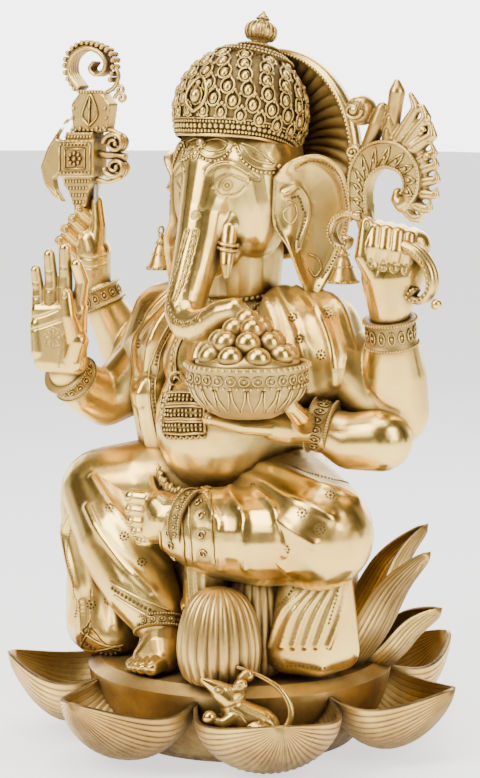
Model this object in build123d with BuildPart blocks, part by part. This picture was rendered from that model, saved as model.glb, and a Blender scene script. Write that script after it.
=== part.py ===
"""Seated four-armed elephant-headed deity on a lotus, in cast brass.

The figure is cast in sections that meet on ground faces and are brazed or pinned
together. Each hollow casting is open at the face where it meets its neighbour.
+Z is up, the figure faces -Y, and its own left side is +X. The origin is the
centre of the lotus base's foot ring. Everything is in millimetres.
"""

import os
from itertools import pairwise
from math import cos, radians, sin

from build123d import *

os.makedirs("parts", exist_ok=True)

# Driving dimensions ------------------------------------------------------------
casting_wall = 5.0
lotus_radius = 236.0
platform_height = 84.0
platform_radius = 156.0
seat_height = 166.0  # hips above the platform
torso_rise = 163.0  # shoulders above the hips
head_rise = 144.0  # centre of the head above the shoulders
shoulder_half = 112.0
elbow_out = 74.0
knee_half = 150.0
head_half_width = 70.0
crown_radius = 67.0
crown_tilt = 18.0
wheel_radius = 108.0
bowl_radius = 57.0
bowl_depth = 52.0
joint_gap = 0.2  # ground faces, before brazing

# Landmarks -----------------------------------------------------------------------
hip_z = platform_height + seat_height
shoulder_z = hip_z + torso_rise
head_centre = Vector(0, -2, shoulder_z + head_rise)


def mirrored(point):
    """The same place on the other side of the figure."""
    return Vector(-point.X, point.Y, point.Z)


left_shoulder = Vector(shoulder_half, 4, shoulder_z)
right_shoulder = mirrored(left_shoulder)
left_hip = Vector(50, 8, hip_z)
right_hip = mirrored(left_hip)


def around(angle, radius, z):
    """A place on the lotus: angle from the front, towards the figure's left."""
    return Vector(radius * sin(radians(angle)), -radius * cos(radians(angle)), z)


def limb(points, radii):
    """A rounded limb: a ball at each point, joined by tapered barrels."""
    with BuildPart() as made:
        for centre, radius in zip(points, radii):
            with Locations(centre):
                Sphere(radius)
        for (start, end), (r_start, r_end) in zip(pairwise(points), pairwise(radii)):
            across = Plane(origin=start, z_dir=end - start)
            with BuildSketch(across):
                Circle(0.97 * r_start)
            with BuildSketch(across.offset((end - start).length)):
                Circle(0.97 * r_end)
            loft()
    return made.part


def hollow_limb(points, radii, open_end=0):
    """A limb with a core, which runs out through the end it is brazed at."""
    with BuildPart() as made:
        add(limb(points, radii))
        core = [Vector(p) for p in points]
        along = core[open_end] - core[open_end + 1 if open_end == 0 else open_end - 1]
        core[open_end] = core[open_end] + along.normalized() * radii[open_end]
        add(limb(core, [r - casting_wall for r in radii]), mode=Mode.SUBTRACT)
    return made.part


def band(centre, along, radius, width, thickness):
    """A cast ring round a limb: a bracelet or an anklet with two rolled edges."""
    plane = Plane(origin=centre, z_dir=along)
    with BuildPart() as made:
        with BuildSketch(plane.offset(-width / 2)):
            Circle(radius + thickness)
            Circle(radius, mode=Mode.SUBTRACT)
        extrude(amount=width)
        for edge in (-width / 2, width / 2):
            with Locations(plane.offset(edge).location):
                Torus(radius + thickness, thickness)
        with BuildSketch(plane.offset(-width)):
            Circle(radius)
        extrude(amount=2 * width, mode=Mode.SUBTRACT)
    return made.part


def spoon(root, tip, radius, wall, lift=0.0):
    """A cupped petal: a pointed boat from root to tip, open on the side facing up."""
    length = (tip - root).length
    side = (tip - root).cross(Vector(0, 0, 1)).normalized()
    plane = Plane(origin=(root + tip) / 2, x_dir=(tip - root), z_dir=side)
    inner = radius - wall
    with BuildPart() as made:
        with BuildSketch(plane):
            with BuildLine():
                half, quarter, shallow = length / 2, 0.3 * length, -0.72 * radius
                Spline((-half, 0), (-quarter, shallow), (0, -radius), (quarter, shallow), (half, 0))
                Line((half, 0), (-half, 0))
            make_face()
        revolve(axis=Axis(plane.origin, plane.x_dir), revolution_arc=360)
        reach = length / 2 - 1.4 * wall
        with BuildSketch(plane):
            with BuildLine():
                near, shallow = 0.6 * reach, lift - 0.72 * inner
                Spline((-reach, lift), (-near, shallow), (0, lift - inner), (near, shallow), (reach, lift))
                Line((reach, lift), (-reach, lift))
            make_face()
        revolve(
            axis=Axis(plane.origin + plane.y_dir * lift, plane.x_dir),
            revolution_arc=360,
            mode=Mode.SUBTRACT,
        )
        upper = Plane(origin=plane.origin + plane.y_dir * lift, x_dir=plane.x_dir, z_dir=plane.y_dir)
        with BuildSketch(upper):
            Rectangle(1.2 * length, 3 * radius)
        extrude(amount=2 * radius, mode=Mode.SUBTRACT)
    return made.part


# Lotus base ------------------------------------------------------------------------
foot_ring_radius = 118.0
with BuildPart() as base_body:
    with BuildSketch(Plane.XZ):
        with BuildLine():
            Line((0, 0), (foot_ring_radius, 0))
            ThreePointArc(
                (foot_ring_radius, 0),
                (platform_radius - 10, 0.45 * platform_height),
                (platform_radius, platform_height - 9),
            )
            Line((platform_radius, platform_height - 9), (platform_radius - 12, platform_height))
            Line((platform_radius - 12, platform_height), (0, platform_height))
            Line((0, platform_height), (0, 0))
        make_face()
    revolve(axis=Axis.Z)

with BuildPart() as lotus_base:
    add(base_body.part)
    with BuildSketch(Plane.XZ):
        with BuildLine():
            Line((0, 0), (foot_ring_radius - casting_wall, 0))
            ThreePointArc(
                (foot_ring_radius - casting_wall, 0),
                (platform_radius - 16, 0.45 * platform_height),
                (platform_radius - casting_wall - 2, platform_height - 11 - casting_wall),
            )
            Line(
                (platform_radius - casting_wall - 2, platform_height - 11 - casting_wall),
                (0, platform_height - casting_wall),
            )
            Line((0, platform_height - casting_wall), (0, 0))
        make_face()
    revolve(axis=Axis.Z, mode=Mode.SUBTRACT)

# Outer ring of open petals, lying on the ground ----------------------------------------
outer_count = 7
outer_radius = 60.0  # half width of a petal
outer_root = 50.0
petal_wall = 6.0
outer_petals = []
for number in range(outer_count):
    angle = number * 360 / outer_count
    with BuildPart() as outer_petal:
        add(
            spoon(
                around(angle, outer_root, outer_radius + 0.5),
                around(angle, lotus_radius, outer_radius + 6),
                outer_radius,
                petal_wall,
                lift=4.0,
            )
        )
        add(base_body.part, mode=Mode.SUBTRACT)
    outer_petal.part.label = f"outer_petal_{number + 1}"
    outer_petals.append(outer_petal.part)

# Middle and inner rings, which stand up behind the figure --------------------------------
middle_angles = (129, 163, 197, 231)
inner_angles = (112, 146, 180, 214, 248)
middle_height = 62.0
inner_height = 128.0
standing_wall = 5.0


def standing_petals(angles, root_radius, tip_radius, height, half_width, blockers):
    """Cupped petals that stand on the platform's rim and lean outwards."""
    with BuildPart() as made:
        for angle in angles:
            root = around(angle, root_radius, platform_height - 14)
            tip = around(angle, tip_radius, platform_height + height)
            add(spoon(root, tip, half_width, standing_wall))
        for blocker in blockers:
            add(blocker, mode=Mode.SUBTRACT)
    return made.part


# Legs --------------------------------------------------------------------------------------
left_knee = Vector(knee_half - 8, -44, hip_z - 24)
left_ankle = Vector(26, -98, hip_z - 10)
right_knee = Vector(-knee_half + 6, -48, hip_z - 8)
right_ankle = Vector(-17, -102, platform_height + 44)

with BuildPart() as lower_body:
    add(limb([left_hip, left_knee], [64, 52]))
    add(limb([right_hip, right_knee], [62, 48]))
    seat_points = [Vector(0, 12, platform_height + 52), Vector(0, 6, hip_z - 20)]
    add(limb(seat_points, [88, 84]))
    under_seat = Plane.XY.offset(platform_height - 80)
    with BuildSketch(under_seat):
        Circle(300)
    extrude(amount=80 + joint_gap, mode=Mode.SUBTRACT)
    core_points = [Vector(0, 12, platform_height - 60), Vector(0, 6, hip_z - 20)]
    add(limb(core_points, [80, 74]), mode=Mode.SUBTRACT)
    add(limb([left_hip, left_knee], [54, 44]), mode=Mode.SUBTRACT)
    add(limb([right_hip, right_knee], [52, 40]), mode=Mode.SUBTRACT)

left_thigh_outside = limb([left_hip, left_knee], [64.2, 52.2])
right_thigh_outside = limb([right_hip, right_knee], [62.2, 48.2])
seat_outside = limb(seat_points, [88.2, 84.2])
with BuildPart() as left_shin:
    add(limb([left_knee + Vector(-12, -12, 0), left_ankle], [46, 27]))
    add(left_thigh_outside, mode=Mode.SUBTRACT)
    add(seat_outside, mode=Mode.SUBTRACT)

with BuildPart() as right_shin:
    add(limb([right_knee + Vector(10, -10, -14), right_ankle], [42, 24]))
    add(right_thigh_outside, mode=Mode.SUBTRACT)
    add(seat_outside, mode=Mode.SUBTRACT)
    add(left_shin.part, mode=Mode.SUBTRACT)
    with BuildSketch(under_seat):
        Circle(300)
    extrude(amount=80 + joint_gap, mode=Mode.SUBTRACT)


def foot(ankle, ball, toe_row, ankle_radius, toe_radii, toe_length):
    """A bare foot: heel to ball, then five toes side by side along toe_row."""
    forward = (ball - ankle).normalized()
    with BuildPart() as made:
        add(limb([ankle, ball], [ankle_radius, 0.72 * ankle_radius]))
        for place, radius in zip((-1.0, -0.45, 0.05, 0.5, 0.92), toe_radii):
            start = ball + toe_row * place
            add(limb([start, start + forward * toe_length], [radius, 0.9 * radius]))
    return made.part


toe_radii = (7.5, 5.6, 5.4, 5.0, 4.4)
right_foot_ball = Vector(-3, -134, platform_height + 13)
left_foot_ball = Vector(-16, -117, hip_z - 12)
with BuildPart() as right_foot:
    add(foot(right_ankle, right_foot_ball, Vector(-17, -3, -1), 18, toe_radii, 13))
    add(right_shin.part, mode=Mode.SUBTRACT)
    with BuildSketch(under_seat):
        Circle(300)
    extrude(amount=80 + joint_gap, mode=Mode.SUBTRACT)
with BuildPart() as left_foot:
    add(foot(left_ankle, left_foot_ball, Vector(2, -3, 20), 19, toe_radii, 14))
    add(left_shin.part, mode=Mode.SUBTRACT)
    add(right_thigh_outside, mode=Mode.SUBTRACT)
    add(right_shin.part, mode=Mode.SUBTRACT)
    add(seat_outside, mode=Mode.SUBTRACT)

with BuildPart() as left_anklet:
    add(band(left_ankle + Vector(2, 0, 0), left_ankle - left_knee, 28, 16, 3))
    for neighbour in (left_shin, left_foot, lower_body, right_shin):
        add(neighbour.part, mode=Mode.SUBTRACT)
with BuildPart() as right_anklet:
    add(band(right_ankle + Vector(4, -3, -2), Vector(0.15, -0.25, -1), 25, 12, 3))
    for neighbour in (right_shin, right_foot, lower_body, left_shin):
        add(neighbour.part, mode=Mode.SUBTRACT)


# Torso ------------------------------------------------------------------------------------
belly = Vector(0, -4, hip_z + 76)
belly_radius = 86.0
chest = Vector(0, 2, hip_z + 142)
neck_top = Vector(0, 2, shoulder_z + 62)
collar = [Vector(-78, 5, shoulder_z - 8), Vector(78, 5, shoulder_z - 8)]
torso_points = [belly, chest, neck_top]
torso_radii = [belly_radius, 68, 40]
with BuildPart() as torso:
    add(limb(torso_points, torso_radii))
    add(limb(collar, [44, 44]))
    for below in (seat_outside, left_thigh_outside, right_thigh_outside):
        add(below, mode=Mode.SUBTRACT)
    core_neck = neck_top + Vector(0, 0, 40)
    core_radii = [r - casting_wall for r in torso_radii]
    add(limb([belly, chest, core_neck], core_radii), mode=Mode.SUBTRACT)
    add(limb(collar, [44 - casting_wall] * 2), mode=Mode.SUBTRACT)

# Head, trunk, tusks and ears -------------------------------------------------------------
jaw = head_centre + Vector(0, -16, -26)
brow = head_centre + Vector(0, 2, 22)
head_radii = [head_half_width - 4, 58, 37]
nape = neck_top + Vector(0, 0, -22)
neck_joint = Plane.XY.offset(nape.Z)
with BuildPart() as head_shape:
    add(limb([brow, jaw], head_radii[:2]))
    cheek = Vector(14, -6, -2)
    add(limb([brow + mirrored(cheek), brow + cheek], [head_radii[0] - 2] * 2))
    add(limb([jaw + Vector(0, 14, 0), nape + Vector(0, 0, 8)], [48, 37]))
    with BuildSketch(neck_joint):
        Rectangle(300, 300)
    extrude(amount=-100, mode=Mode.SUBTRACT)
with BuildPart() as head:
    add(head_shape.part)
    core_points = [brow - Vector(0, 0, 2), jaw + Vector(0, 9, 2), nape - Vector(0, 0, 50)]
    add(limb(core_points, [head_radii[0] - casting_wall - 1, 46, 30]), mode=Mode.SUBTRACT)

with BuildPart() as neck_cut:
    with BuildSketch(neck_joint.offset(-joint_gap)):
        Rectangle(300, 300)
    extrude(amount=200)
torso.part -= neck_cut.part

trunk_points = [
    head_centre + Vector(0, -50, 2),
    Vector(0, -62, head_centre.Z - 30),
    Vector(0, -76, head_centre.Z - 70),
    Vector(2, -90, head_centre.Z - 108),
    Vector(28, -98, head_centre.Z - 126),
    Vector(62, -97, head_centre.Z - 112),
    Vector(84, -94, head_centre.Z - 105),
]
trunk_radii = [30, 28, 23, 19, 17, 14, 12]
with BuildPart() as trunk:
    add(limb(trunk_points, trunk_radii))
    for neighbour in (head_shape, torso):
        add(neighbour.part, mode=Mode.SUBTRACT)

with BuildPart() as left_tusk:
    tusk_points = [head_centre + Vector(27, -44, -30), head_centre + Vector(35, -54, -58)]
    tusk_points.append(head_centre + Vector(38, -60, -84))
    add(limb(tusk_points, [10, 9, 4]))
    for neighbour in (head_shape, trunk):
        add(neighbour.part, mode=Mode.SUBTRACT)
with BuildPart() as right_tusk:
    stub_points = [head_centre + Vector(-27, -44, -30), head_centre + Vector(-34, -53, -52)]
    add(limb(stub_points, [10, 9]))
    for neighbour in (head_shape, trunk):
        add(neighbour.part, mode=Mode.SUBTRACT)

ear_reach = 50.0
ear_top = head_centre.Z + 30
ear_low = head_centre.Z - 104


def ear(side):
    """A fan-shaped ear: a cupped leaf that hangs beside the head down to the shoulder."""
    inner = Vector(side * (head_half_width - 4), 4, head_centre.Z)
    plane = Plane(origin=inner, x_dir=(side * 0.82, 0.57, 0), z_dir=(0.57, -0.82 * side, 0))
    with BuildPart() as made:
        with BuildSketch(plane):
            with BuildLine():
                flip = plane.y_dir.Z
                up, down = ear_top - head_centre.Z, ear_low - head_centre.Z
                Spline(
                    (-2, flip * up * 0.7),
                    (ear_reach * 0.5, flip * up),
                    (ear_reach + 6, flip * 0),
                    (ear_reach * 0.72, flip * down * 0.6),
                    (ear_reach * 0.62, flip * down),
                )
                Line((ear_reach * 0.62, flip * down), (-2, flip * -44))
                Line((-2, flip * -44), (-2, flip * up * 0.7))
            make_face()
        extrude(amount=4.5, both=True)
    return made.part


with BuildPart() as left_ear:
    add(ear(1))
    for neighbour in (head_shape, torso):
        add(neighbour.part, mode=Mode.SUBTRACT)
with BuildPart() as right_ear:
    add(ear(-1))
    for neighbour in (head_shape, torso):
        add(neighbour.part, mode=Mode.SUBTRACT)

# Crown --------------------------------------------------------------------------------------
dome_centre = head_centre + Vector(0, 3, 78)
crown_axis = Vector(0, sin(radians(crown_tilt)), cos(radians(crown_tilt)))
crown_plane = Plane(origin=dome_centre, x_dir=(1, 0, 0), z_dir=crown_axis)
brim_drop = 33.0
ring_level = 40.0
ring_height = 19.0
ring_radius = 40.0
with BuildPart() as dome_shape:
    with Locations(crown_plane.location):
        Sphere(crown_radius)
    with BuildSketch(crown_plane.offset(-brim_drop)):
        Circle(2 * crown_radius)
    extrude(amount=-2 * crown_radius, mode=Mode.SUBTRACT)
    with BuildSketch(crown_plane.offset(ring_level)):
        Circle(2 * crown_radius)
    extrude(amount=2 * crown_radius, mode=Mode.SUBTRACT)
with BuildPart() as crown_dome:
    add(dome_shape.part)
    with Locations(crown_plane.location):
        Sphere(crown_radius - casting_wall, mode=Mode.SUBTRACT)
    add(head_shape.part, mode=Mode.SUBTRACT)
with BuildPart() as crown_ring:
    with BuildSketch(crown_plane.offset(ring_level)):
        Circle(ring_radius)
    extrude(amount=ring_height)
    fillet(crown_ring.edges(), 4)
stud_radius = 3.0
finial_profile = [
    (12, 0),
    (15, 4),
    (13, 8),
    (21, 11),
    (21, 14),
    (11, 18),
    (11, 22),
    (15, 28),
    (16, 33),
    (13, 39),
    (6, 44),
    (0, 49),
]
with BuildPart() as crown_finial:
    finial_plane = crown_plane.offset(ring_level + ring_height)
    section = Plane(origin=finial_plane.origin, x_dir=(1, 0, 0), z_dir=-finial_plane.y_dir)
    with BuildSketch(section):
        with BuildLine():
            Polyline((0, 0), *finial_profile, close=True)
        make_face()
    revolve(axis=Axis(finial_plane.origin, finial_plane.z_dir))

wheel_centre = head_centre + Vector(0, 68, 37)
wheel_plane = Plane(origin=wheel_centre, x_dir=(1, 0, 0), z_dir=(0, 1, 0.08))
wheel_thickness = 6.0
with BuildPart() as crown_wheel:
    with BuildSketch(wheel_plane):
        Circle(wheel_radius)
    extrude(amount=wheel_thickness)
    with Locations(wheel_plane.offset(wheel_thickness / 2).location):
        Torus(wheel_radius - 4, 5)
    for neighbour in (head_shape, dome_shape, crown_ring):
        add(neighbour.part, mode=Mode.SUBTRACT)

# Arms, hands and bracelets --------------------------------------------------------------------
left_back_elbow = Vector(shoulder_half + elbow_out - 6, 28, shoulder_z - 66)
right_back_elbow = Vector(-shoulder_half - elbow_out + 14, 20, shoulder_z - 44)
left_front_elbow = Vector(shoulder_half + elbow_out - 2, -6, shoulder_z - 86)
right_front_elbow = Vector(-shoulder_half - elbow_out + 34, -40, shoulder_z - 74)
left_back_wrist = Vector(left_back_elbow.X + 11, 3, shoulder_z + 22)
right_back_wrist = Vector(right_back_elbow.X - 28, -3, shoulder_z + 30)
left_front_wrist = Vector(127, -30, shoulder_z - 77)
right_front_wrist = Vector(right_front_elbow.X + 2, -99, shoulder_z - 40)
arm_radii = (41, 32, 19)
torso_outside = limb(torso_points, [r + 0.05 for r in torso_radii])
collar_outside = limb(collar, [44.05, 44.05])
with BuildPart() as upper_left_arm:
    add(hollow_limb([left_shoulder, left_back_elbow, left_back_wrist], arm_radii))
    add(torso_outside, mode=Mode.SUBTRACT)
    add(collar_outside, mode=Mode.SUBTRACT)
with BuildPart() as upper_right_arm:
    add(hollow_limb([right_shoulder, right_back_elbow, right_back_wrist], arm_radii))
    add(torso_outside, mode=Mode.SUBTRACT)
    add(collar_outside, mode=Mode.SUBTRACT)
left_back_shape = limb([left_shoulder, left_back_elbow, left_back_wrist], [r + 0.1 for r in arm_radii])
right_back_shape = limb([right_shoulder, right_back_elbow, right_back_wrist], [r + 0.1 for r in arm_radii])
with BuildPart() as lower_left_arm:
    add(limb([left_front_elbow, left_front_wrist], [31, 20]))
    add(left_back_shape, mode=Mode.SUBTRACT)
with BuildPart() as lower_right_arm:
    add(limb([right_front_elbow + Vector(22, 22, 40), right_front_elbow, right_front_wrist], [36, 31, 20]))
    add(right_back_shape, mode=Mode.SUBTRACT)
    add(torso_outside, mode=Mode.SUBTRACT)


left_front_outside = limb([left_front_elbow, left_front_wrist], [31.1, 20.1])


def hand(wrist, palm, palm_radii, knuckles, fingers, thumb):
    """A hand: two barrels for the palm, then each finger as its own jointed limb."""
    with BuildPart() as made:
        add(limb([wrist, palm], palm_radii))
        add(limb([knuckles[0], knuckles[1]], [palm_radii[1] * 0.7] * 2))
        for points, radius in fingers + [thumb]:
            add(limb(points, [radius] * (len(points) - 1) + [0.85 * radius]))
    return made.part


finger_radius = 7.2
palm_up = right_front_wrist + Vector(5, -13, 48)
with BuildPart() as lower_right_hand:
    row = Vector(11.5, -1, 0)
    tips = (34, 44, 42, 30)
    fingers = []
    for place, length in zip((-1.5, -0.5, 0.5, 1.5), tips):
        root = palm_up + row * place + Vector(0, 0, 16)
        middle, tip = root + Vector(0, 4, length * 0.5), root + Vector(0, 6, length + 12)
        fingers.append(([root, middle, tip], finger_radius))
    thumb_root = palm_up + Vector(17, -8, -18)
    thumb_middle, thumb_tip = thumb_root + Vector(2, -12, 22), thumb_root + Vector(2, -10, 46)
    thumb = ([thumb_root, thumb_middle, thumb_tip], finger_radius + 0.6)
    across = [palm_up + row * -1.3 + Vector(0, 0, 6), palm_up + row * 1.3 + Vector(0, 0, 6)]
    add(hand(right_front_wrist + Vector(2, -8, 14), palm_up, (19, 21), across, fingers, thumb))
    add(limb([right_front_elbow, right_front_wrist], [31.1, 20.1]), mode=Mode.SUBTRACT)

palm_side = right_back_wrist + Vector(-4, -2, 40)
with BuildPart() as upper_right_hand:
    fingers = []
    for step in range(4):
        root = palm_side + Vector(-4 - 6 * step, -6 - 3 * step, 22 - 9 * step)
        fingers.append(([root, root + Vector(-9, -8, 10), root + Vector(-4, -16, 4)], finger_radius))
    thumb_root = palm_side + Vector(4, -8, 8)
    thumb = ([thumb_root, thumb_root + Vector(6, -4, 36)], finger_radius + 1)
    across = [palm_side + Vector(0, 0, 10), palm_side + Vector(-16, -8, 0)]
    add(hand(right_back_wrist + Vector(-1, 0, 12), palm_side, (17, 21), across, fingers, thumb))
    add(right_back_shape, mode=Mode.SUBTRACT)

palm_fist = left_back_wrist + Vector(7, -1, 44)
with BuildPart() as upper_left_hand:
    fingers = []
    for step in range(4):
        root = palm_fist + Vector(14 - 9 * step, 8, 20 - 2 * step)
        fingers.append(([root, root + Vector(-2, -22, 10), root + Vector(-2, -27, -8)], finger_radius))
    thumb_root = palm_fist + Vector(-20, -12, -8)
    thumb = ([thumb_root, thumb_root + Vector(-2, -8, 34)], finger_radius + 1)
    across = [palm_fist + Vector(-14, 0, 6), palm_fist + Vector(14, 0, 6)]
    add(hand(left_back_wrist + Vector(1, 0, 12), palm_fist, (20, 28), across, fingers, thumb))
    add(left_back_shape, mode=Mode.SUBTRACT)

bowl_centre = Vector(105, -106, shoulder_z - 10)
bowl_plane = Plane(origin=bowl_centre, z_dir=(0, 0, 1))
bowl_wall = 5.0
with BuildPart() as bowl_shape:
    with BuildSketch(Plane(origin=bowl_centre, x_dir=(1, 0, 0), z_dir=(0, -1, 0))):
        with BuildLine():
            Line((0, 0), (bowl_radius, 0))
            ThreePointArc((bowl_radius, 0), (bowl_radius * 0.78, -bowl_depth * 0.7), (26, -bowl_depth))
            Line((26, -bowl_depth), (0, -bowl_depth))
            Line((0, -bowl_depth), (0, 0))
        make_face()
    revolve(axis=Axis(bowl_centre, (0, 0, 1)))
with BuildPart() as bowl:
    add(bowl_shape.part)
    with Locations(bowl_plane.offset(-4).location):
        Torus(bowl_radius - 1, 4)
    with BuildSketch(Plane(origin=bowl_centre, x_dir=(1, 0, 0), z_dir=(0, -1, 0))):
        with BuildLine():
            inside = bowl_radius - bowl_wall
            Line((0, 2), (inside, 2))
            Line((inside, 2), (inside, -2))
            ThreePointArc((inside, -2), (inside * 0.76, -bowl_depth * 0.62), (22, bowl_wall - bowl_depth))
            Line((22, bowl_wall - bowl_depth), (0, bowl_wall - bowl_depth))
            Line((0, bowl_wall - bowl_depth), (0, 2))
        make_face()
    revolve(axis=Axis(bowl_centre, (0, 0, 1)), mode=Mode.SUBTRACT)
    add(torso.part, mode=Mode.SUBTRACT)

palm_low = bowl_centre + Vector(9, 40, -bowl_depth - 15)
with BuildPart() as lower_left_hand:
    with Locations(palm_low):
        Cylinder(17.9, 24)
    for step in range(4):
        root = palm_low + Vector(11 - 12 * step, -4, -1)
        tip = root + Vector(-9 - 5 * step, -42 + 6 * step, 2)
        with BuildSketch(Plane(origin=root, z_dir=tip - root)):
            Circle(0.9 * finger_radius)
        extrude(amount=(tip - root).length)
        with Locations(Plane(origin=tip, z_dir=tip - root).location):
            Sphere(finger_radius)
    root, tip = palm_low + Vector(6, 0, 1), palm_low + Vector(36, -28, 4)
    with BuildSketch(Plane(origin=root, z_dir=tip - root)):
        Circle(0.95 * finger_radius)
    extrude(amount=(tip - root).length)

sweet_radius = 12.5
with BuildPart() as sweets:
    inside, sweet_floor = bowl_radius - bowl_wall, -16
    with BuildSketch(Plane(origin=bowl_centre, x_dir=(1, 0, 0), z_dir=(0, -1, 0))):
        with BuildLine():
            snug, floor = inside - joint_gap, bowl_wall - bowl_depth + joint_gap
            Line((0, -1), (snug, -1))
            Line((snug, -1), (snug, -2))
            bulge = (inside * 0.76 - joint_gap, -bowl_depth * 0.62)
            ThreePointArc((snug, -2), bulge, (22 - joint_gap, floor))
            Line((22 - joint_gap, floor), (0, floor))
            Line((0, floor), (0, -1))
        make_face()
    revolve(axis=Axis(bowl_centre, (0, 0, 1)))
    with Locations(bowl_centre + Vector(0, 0, sweet_floor)):
        Cylinder(bowl_radius, bowl_depth, align=(Align.CENTER, Align.CENTER, Align.MAX), mode=Mode.SUBTRACT)
    with Locations(bowl_centre + Vector(0, 0, -2)):
        Cylinder(23, 24, align=(Align.CENTER, Align.CENTER, Align.MIN))
    for count, ring, rise, radius in ((8, 37, 8, sweet_radius), (5, 20.5, 27, sweet_radius - 1)):
        for number in range(count):
            turn = radians(number * 360 / count)
            with Locations(bowl_centre + Vector(ring * cos(turn), ring * sin(turn), rise)):
                Sphere(radius)

bracelet_width = 16.0
bracelet_thickness = 3.5


def bracelet(elbow, wrist, radius, back):
    """A bracelet a little way up the forearm from the wrist."""
    along = (wrist - elbow).normalized()
    return band(wrist - along * back, along, radius, bracelet_width, bracelet_thickness)


with BuildPart() as upper_left_bracelet:
    add(bracelet(left_back_elbow, left_back_wrist, 22, 4))
    for neighbour in (upper_left_arm, upper_left_hand):
        add(neighbour.part, mode=Mode.SUBTRACT)
with BuildPart() as upper_right_bracelet:
    add(bracelet(right_back_elbow, right_back_wrist, 21, 0))
    for neighbour in (upper_right_arm, upper_right_hand):
        add(neighbour.part, mode=Mode.SUBTRACT)
with BuildPart() as lower_left_bracelet:
    add(bracelet(left_front_elbow, left_front_wrist, 23, 6))
    for neighbour in (lower_left_arm, lower_left_hand):
        add(neighbour.part, mode=Mode.SUBTRACT)
    add(left_back_shape, mode=Mode.SUBTRACT)
    add(torso_outside, mode=Mode.SUBTRACT)
with BuildPart() as lower_right_bracelet:
    add(bracelet(right_front_elbow, right_front_wrist, 22, 4))
    for neighbour in (lower_right_arm, lower_right_hand):
        add(neighbour.part, mode=Mode.SUBTRACT)


# Cloth that is cast with the figure: shawls, trouser leg, drape, pleats and waist frill ----------


def biggest(shape):
    """The largest solid of a shape, without the crumbs that a cut leaves behind."""
    return max(shape.solids(), key=lambda solid: solid.volume)


cloth_thickness = 5.0


def shawl(side, arms):
    """A shawl over one shoulder: a shell that lies on the collar and the upper arms."""
    over = [Vector(side * 56, 5, shoulder_z + 7), Vector(side * (shoulder_half + 11), 1, shoulder_z - 20)]
    with BuildPart() as made:
        add(limb(over, [40 + cloth_thickness, 43 + cloth_thickness]))
        for blocker in [torso_outside, collar_outside] + arms:
            add(blocker, mode=Mode.SUBTRACT)
        for blocker in (head_shape, left_ear, right_ear):
            add(blocker.part, mode=Mode.SUBTRACT)
    return made.part


right_front_shape = limb(
    [right_front_elbow + Vector(22, 22, 40), right_front_elbow, right_front_wrist], [36.1, 31.1, 20.1]
)
with BuildPart() as shawl_left:
    add(biggest(shawl(1, [left_back_shape, left_front_outside])))
with BuildPart() as shawl_right:
    add(biggest(shawl(-1, [right_back_shape, right_front_shape])))

with BuildPart() as right_leg_cloth:
    hang = [Vector(-138, -48, hip_z - 34), Vector(-114, -72, hip_z - 96)]
    hang.append(Vector(-110, -70, platform_height + 20))
    add(limb(hang, [44, 42, 46]))
    for neighbour in (lower_body, right_shin, right_foot):
        add(neighbour.part, mode=Mode.SUBTRACT)
    add(seat_outside, mode=Mode.SUBTRACT)
    add(right_thigh_outside, mode=Mode.SUBTRACT)
    with BuildSketch(under_seat):
        Circle(300)
    extrude(amount=80 + joint_gap, mode=Mode.SUBTRACT)

fall = [Vector(128, 4, hip_z - 10), Vector(126, -30, hip_z - 92), Vector(124, -42, platform_height + 31)]
fall_radii = [36, 32, 30]
with BuildPart() as knee_drape:
    add(limb(fall, fall_radii))
    for neighbour in (lower_body, left_shin):
        add(neighbour.part, mode=Mode.SUBTRACT)
    add(left_thigh_outside, mode=Mode.SUBTRACT)
    add(seat_outside, mode=Mode.SUBTRACT)
    with BuildSketch(under_seat):
        Circle(300)
    extrude(amount=80 + joint_gap, mode=Mode.SUBTRACT)

fold = [Vector(44, -66, hip_z - 40), Vector(34, -78, hip_z - 92), Vector(28, -86, platform_height + 14)]
fold_radii = [20, 24, 24]
with BuildPart() as front_pleats:
    add(limb(fold, fold_radii))
    for neighbour in (lower_body, left_shin, right_shin, right_foot, left_anklet, right_anklet):
        add(neighbour.part, mode=Mode.SUBTRACT)
    add(seat_outside, mode=Mode.SUBTRACT)
    with BuildSketch(under_seat):
        Circle(300)
    extrude(amount=80 + joint_gap, mode=Mode.SUBTRACT)

frill_radius = 78.0
frill_plane = Plane(origin=(0, 0, hip_z + 24), z_dir=(0, 0.25, 1))
with BuildPart() as waist_frill:
    with BuildSketch(frill_plane):
        Circle(frill_radius + 12)
    extrude(amount=12)
    add(torso_outside, mode=Mode.SUBTRACT)
    add(seat_outside, mode=Mode.SUBTRACT)
    add(left_thigh_outside, mode=Mode.SUBTRACT)
    add(right_thigh_outside, mode=Mode.SUBTRACT)

# Jewellery and ornaments on the body ---------------------------------------------------------


def on_belly(angle, height, proud):
    """A place on the front of the belly: angle from the front towards the figure's left."""
    rise = height - belly.Z
    reach = (belly_radius + proud) ** 2 - rise**2
    return Vector(reach**0.5 * sin(radians(angle)), belly.Y - reach**0.5 * cos(radians(angle)), height)


with BuildPart() as garland:
    strand = [Vector(-34, -58, shoulder_z + 6), Vector(-40, -66, shoulder_z - 30)]
    strand += [on_belly(-32, hip_z + 106, 0), on_belly(-22, hip_z + 74, 1)]
    add(limb(strand, [7, 7, 7, 7]))
    add(torso_outside, mode=Mode.SUBTRACT)
    for neighbour in (trunk, shawl_right):
        add(neighbour.part, mode=Mode.SUBTRACT)

plaque_centre = on_belly(9, hip_z + 92, 0)
plaque_normal = (plaque_centre - belly).normalized()
plaque_plane = Plane(origin=plaque_centre, x_dir=plaque_normal.cross(Vector(0, 0, -1)), z_dir=plaque_normal)
with BuildPart() as belly_pendant:
    with BuildSketch(plaque_plane.offset(-6)):
        Rectangle(38, 38)
    extrude(amount=10)
    add(torso_outside, mode=Mode.SUBTRACT)

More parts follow.
